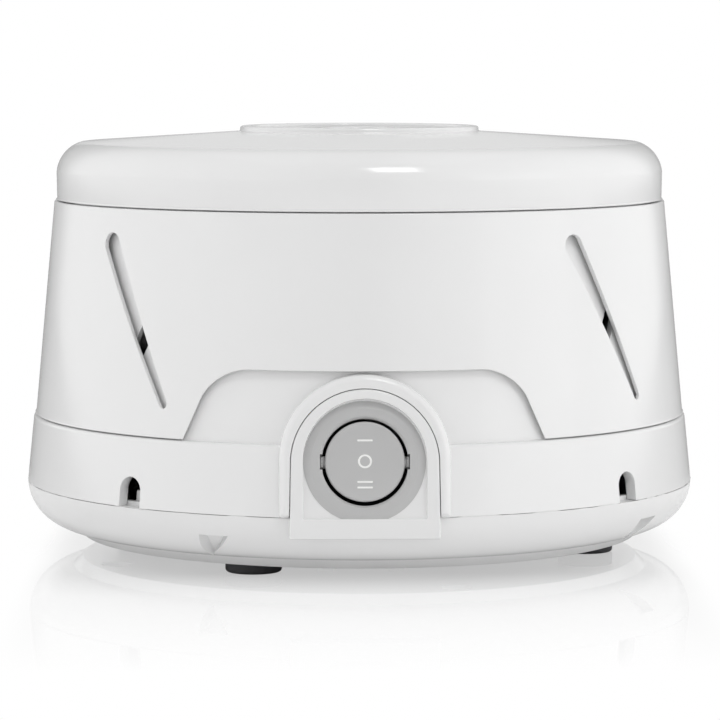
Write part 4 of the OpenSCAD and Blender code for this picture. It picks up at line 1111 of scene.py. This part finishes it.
def metalFinish(name, light, dark, roughness, grain, bump):
    # plated, cast or stamped metal: cloudy tone and a fine tooth
    material, tree, shader, where = startMaterial(name, {"Metallic": 1})
    cloud = addNode(tree, "ShaderNodeTexNoise", {
        "Scale": perMillimetre(grain * 5), "Detail": 4, "Roughness": 0.6}, {"Vector": where})
    tooth = addNode(tree, "ShaderNodeTexNoise", {
        "Scale": perMillimetre(grain), "Detail": 2, "Roughness": 0.5}, {"Vector": where})
    colour = addNode(tree, "ShaderNodeMix", {"data_type": "RGBA", 6: tone(dark), 7: tone(light)},
                     {0: cloud.outputs["Fac"]})
    gloss = addNode(tree, "ShaderNodeMapRange", {"To Min": roughness - 0.07, "To Max": roughness + 0.07},
                    {"Value": cloud.outputs["Fac"]})
    lift = addNode(tree, "ShaderNodeBump", {"Strength": bump, "Distance": 0.03 * mm},
                   {"Height": tooth.outputs["Fac"]})
    joinUp(tree, shader, colour, lift, gloss)
    return material


def woundCopper(name, light, dark):
    # enamelled wire: turns side by side, 0.3 mm apart, under a clear glossy enamel
    material, tree, shader, where = startMaterial(
        name, {"Metallic": 1, "Roughness": 0.3, "Coat Weight": 0.6, "Coat Roughness": 0.15})
    turns = addNode(tree, "ShaderNodeTexWave", {
        "wave_type": "BANDS", "bands_direction": "X", "Scale": perMillimetre(0.6) / 3.2, "Distortion": 0.4,
        "Detail": 1, "Detail Scale": perMillimetre(8)}, {"Vector": where})
    colour = addNode(tree, "ShaderNodeMix", {"data_type": "RGBA", 6: tone(dark), 7: tone(light)},
                     {0: turns.outputs["Fac"]})
    lift = addNode(tree, "ShaderNodeBump", {"Strength": 0.6, "Distance": 0.1 * mm},
                   {"Height": turns.outputs["Fac"]})
    joinUp(tree, shader, colour, lift)
    return material


def stackedSteel(name, light, dark):
    # stamped laminations, 0.5 mm sheets on each other, oiled
    material, tree, shader, where = startMaterial(name, {"Metallic": 1})
    sheets = addNode(tree, "ShaderNodeTexWave", {
        "wave_type": "BANDS", "bands_direction": "Z", "Scale": perMillimetre(0.5) / 6.283, "Distortion": 0.1},
        {"Vector": where})
    oil = addNode(tree, "ShaderNodeTexNoise", {"Scale": perMillimetre(6), "Detail": 3}, {"Vector": where})
    colour = addNode(tree, "ShaderNodeMix", {"data_type": "RGBA", 6: tone(dark), 7: tone(light)},
                     {0: oil.outputs["Fac"]})
    gloss = addNode(tree, "ShaderNodeMapRange", {"To Min": 0.3, "To Max": 0.5}, {"Value": oil.outputs["Fac"]})
    lift = addNode(tree, "ShaderNodeBump", {"Strength": 0.7, "Distance": 0.06 * mm},
                   {"Height": sheets.outputs["Fac"]})
    joinUp(tree, shader, colour, lift, gloss)
    return material


finishes = {
    "white_plastic": mouldedPlastic("glossWhiteABS", "#eeeeee", "#ebebeb", 0.12, 0.5, 0.05),
    "grey_plastic": mouldedPlastic("satinGreyNylon", "#c0c0c0", "#bababa", 0.42, 0.25, 0.35),
    "foot_rubber": mouldedPlastic("mouldedRubber", "#3f3f41", "#2e2e30", 0.7, 0.2, 0.6),
    "black_nylon": mouldedPlastic("blackNylon", "#2b2c2e", "#222324", 0.45, 0.3, 0.4),
    "natural_nylon": mouldedPlastic("naturalNylon", "#dedace", "#cfcabb", 0.4, 0.4, 0.3),
    "coil_tape": mouldedPlastic("polyesterTape", "#dcbb52", "#c9a53c", 0.3, 1.2, 0.4),
    "red_lead": mouldedPlastic("redSleeve", "#b8382c", "#a02e24", 0.4, 0.6, 0.2),
    "black_lead": mouldedPlastic("blackSleeve", "#2c2c2e", "#222224", 0.4, 0.6, 0.2),
    "white_lead": mouldedPlastic("whiteSleeve", "#e2e0da", "#d2d0c9", 0.4, 0.6, 0.2),
    "zinc_steel": metalFinish("zincPlatedSteel", "#c9ccd0", "#a3a7ad", 0.3, 0.3, 0.25),
    "cast_zinc": metalFinish("castZinc", "#a8aaac", "#87898c", 0.48, 0.5, 0.6),
    "cast_aluminium": metalFinish("castAluminium", "#c6c8ca", "#a6a9ac", 0.42, 0.5, 0.5),
    "copper": metalFinish("bareCopper", "#c98058", "#a8603c", 0.32, 0.3, 0.25),
    "bronze": metalFinish("sinteredBronze", "#a9844f", "#84633a", 0.5, 0.2, 0.7),
    "tin_plated_brass": metalFinish("tinPlatedBrass", "#cbb98c", "#a89566", 0.34, 0.3, 0.3),
    "enamelled_copper": woundCopper("enamelledCopper", "#a4532c", "#5e2812"),
    "lamination_steel": stackedSteel("stampedLaminations", "#777b80", "#54585d"),
}


def dress(piece, finish):
    if not piece.material_slots:
        piece.data.materials.append(finish)
    for slot in piece.material_slots:
        slot.material = finish


for row in frame["record"]["subparts"]:
    dress(frame["nodes"][row["node"]], finishes[row["material_slot"]])
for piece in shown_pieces():
    if "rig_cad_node" not in piece:
        dress(piece, finishes[piece["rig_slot"]])
markWhite = mouldedPlastic("whitePrint", "#f6f6f5", "#f0f0ee", 0.5, 0.3, 0.2)
dress(printedMarks, markWhite)
print("materials given")


# floor, light and background
studio = {
    "floorSize": 3000,
    "floorDim": (70, 150),
    "floorShadePaint": (0.97, 0.3),  # near the object, and grey behind it as painted shade that the object's rims reflect
    "sheen": 0.45,
    "sheenFull": 50,
    "sheenMiddle": 80,
    "sheenLow": 0.22,
    "sheenEnd": 165,
    "sheenSide": (61, 71),
    "shadow": 0.1,
    "shadowReach": (58, 76),
    "frontLight": 0.13,
    "leftLight": 1.4,
    "rightLight": 1.35,
    "flankLight": 0.3,
    "behindLight": 0.41,
    "litReach": (0.9, 0.7),
    "behindAim": (0, 0.986, 0.165),
    "behindSpread": (0.985, 0.995),
}


def ramp(tree, value, start, end, low=0.0, high=1.0, smooth=False):
    node = addNode(tree, "ShaderNodeMapRange", {
        "interpolation_type": "SMOOTHSTEP" if smooth else "LINEAR",
        "From Min": start, "From Max": end, "To Min": low, "To Max": high}, {"Value": value})
    return node.outputs["Result"]


def sums(tree, operation, first, second):
    settings = {index: value for index, value in ((0, first), (1, second)) if isinstance(value, (int, float))}
    links = {index: value for index, value in ((0, first), (1, second)) if index not in settings}
    return addNode(tree, "ShaderNodeMath", {"operation": operation, **settings}, links).outputs["Value"]


def makeFloor():
    deselectAll()
    bpy.ops.mesh.primitive_plane_add(size=studio["floorSize"] * mm, location=(0, 0, 0))
    floor = bpy.context.object
    floor.name = "studioFloor"
    material, tree, shader, where = startMaterial(
        "glossWhiteFloor", {"Roughness": 0.5, "Specular IOR Level": 0})
    apart = addNode(tree, "ShaderNodeSeparateXYZ", links={"Vector": where})
    distance = addNode(tree, "ShaderNodeVectorMath", {"operation": "LENGTH"}, {0: where}).outputs["Value"]
    # the paint goes from white to grey behind the object: painted shade that the camera never sees, while the
    # object's rims reflect it and its back takes less bounce
    grey = ramp(tree, apart.outputs["Y"], *(value * mm for value in studio["floorDim"]))
    bright, dim = ((value, value, value, 1) for value in studio["floorShadePaint"])
    paint = addNode(tree, "ShaderNodeMix", {"data_type": "RGBA", 6: bright, 7: dim}, {0: grey})
    tree.links.new(paint.outputs[2], shader.inputs["Base Color"])
    # the camera sees white, with the object's shadow near it
    rayKind = addNode(tree, "ShaderNodeLightPath")
    start, end = (value * mm for value in studio["shadowReach"])
    clear = ramp(tree, distance, start, end, 1 - studio["shadow"], 1, True)
    shown = sums(tree, "MULTIPLY", rayKind.outputs["Is Camera Ray"], clear)
    glow = addNode(tree, "ShaderNodeEmission", {"Strength": 1.0})
    white = addNode(tree, "ShaderNodeMixShader", {}, {
        "Fac": shown, 1: shader.outputs["BSDF"], 2: glow.outputs[0]})
    # the sheen is strongest under the object and dies away in front of it and behind it
    reach = sums(tree, "ABSOLUTE", apart.outputs["Y"], 0)
    full, middle, last = (studio[key] * mm for key in ("sheenFull", "sheenMiddle", "sheenEnd"))
    near = ramp(tree, reach, full, middle, studio["sheen"] - studio["sheenLow"], 0)
    far = ramp(tree, reach, middle, last, studio["sheenLow"], 0)
    sideways = sums(tree, "ABSOLUTE", apart.outputs["X"], 0)
    aside = ramp(tree, sideways, *(value * mm for value in studio["sheenSide"]), 1, 0, True)
    sheen = sums(tree, "MULTIPLY", sums(tree, "ADD", near, far), aside)
    mirror = addNode(tree, "ShaderNodeBsdfGlossy", {"Color": (1, 1, 1, 1), "Roughness": 0.03})
    mixed = addNode(tree, "ShaderNodeMixShader", {}, {
        "Fac": sheen, 1: white.outputs[0], 2: mirror.outputs[0]})
    output = next(node for node in tree.nodes if node.type == "OUTPUT_MATERIAL")
    tree.links.new(mixed.outputs["Shader"], output.inputs["Surface"])
    dress(floor, material)


lamps = {
    "keyHigh": {"place": (206, -780, 950), "aim": (0, 0, 85), "size": (300, 300), "power": 2.0},
    "boxRight": {"place": (1150, -650, 400), "aim": (0, 0, 50), "size": (900, 700), "power": 0.9},
    "topBox": {"place": (0, 100, 1300), "aim": (0, 0, 50), "size": (1200, 1200), "power": 1.4},
}


def addLamp(name, facts):
    spot = Vector(facts["place"]) * mm
    bpy.ops.object.light_add(type="AREA", location=spot)
    lamp = bpy.context.object
    lamp.name = name
    lamp.data.shape = "RECTANGLE"
    lamp.data.size, lamp.data.size_y = (value * mm for value in facts["size"])
    lamp.data.energy = facts["power"]
    lamp.rotation_mode = "QUATERNION"
    lamp.rotation_quaternion = (Vector(facts["aim"]) * mm - spot).to_track_quat("-Z", "Y")


def makeWorld():
    # bright in front and at the sides, dim beyond them, with one soft patch behind and above
    world = bpy.data.worlds.new("paleStudio")
    bpy.context.scene.world = world
    world.use_nodes = True
    tree = world.node_tree
    tree.nodes.clear()
    where = addNode(tree, "ShaderNodeTexCoord").outputs["Generated"]
    apart = addNode(tree, "ShaderNodeSeparateXYZ", links={"Vector": where})
    left = ramp(tree, apart.outputs["X"], 0, -1, 0, studio["leftLight"])
    right = ramp(tree, apart.outputs["X"], 0, 1, 0, studio["rightLight"])
    wide = sums(tree, "ADD", sums(tree, "ADD", left, right), studio["frontLight"] - studio["flankLight"])
    lit = ramp(tree, apart.outputs["Y"], *studio["litReach"], 0, 1, True)
    before = sums(tree, "ADD", sums(tree, "MULTIPLY", wide, lit), studio["flankLight"])
    toward = addNode(tree, "ShaderNodeVectorMath", {
        "operation": "DOT_PRODUCT", 1: studio["behindAim"]}, {0: where})
    behind = ramp(tree, toward.outputs["Value"], *studio["behindSpread"], 0, studio["behindLight"], True)
    level = sums(tree, "ADD", before, behind)
    rayKind = addNode(tree, "ShaderNodeLightPath")
    light = addNode(tree, "ShaderNodeBackground", {"Color": (1, 1, 1, 1)}, {"Strength": level})
    white = addNode(tree, "ShaderNodeBackground", {"Strength": 1, "Color": (1, 1, 1, 1)})
    mixed = addNode(tree, "ShaderNodeMixShader", {}, {
        "Fac": rayKind.outputs["Is Camera Ray"],
        1: light.outputs["Background"], 2: white.outputs["Background"]})
    addNode(tree, "ShaderNodeOutputWorld", links={"Surface": mixed.outputs["Shader"]})


makeFloor()
makeWorld()
for lampName, lampFacts in lamps.items():
    addLamp(lampName, lampFacts)
bpy.context.scene.view_settings.view_transform = "Standard"
print("floor and lamps placed")
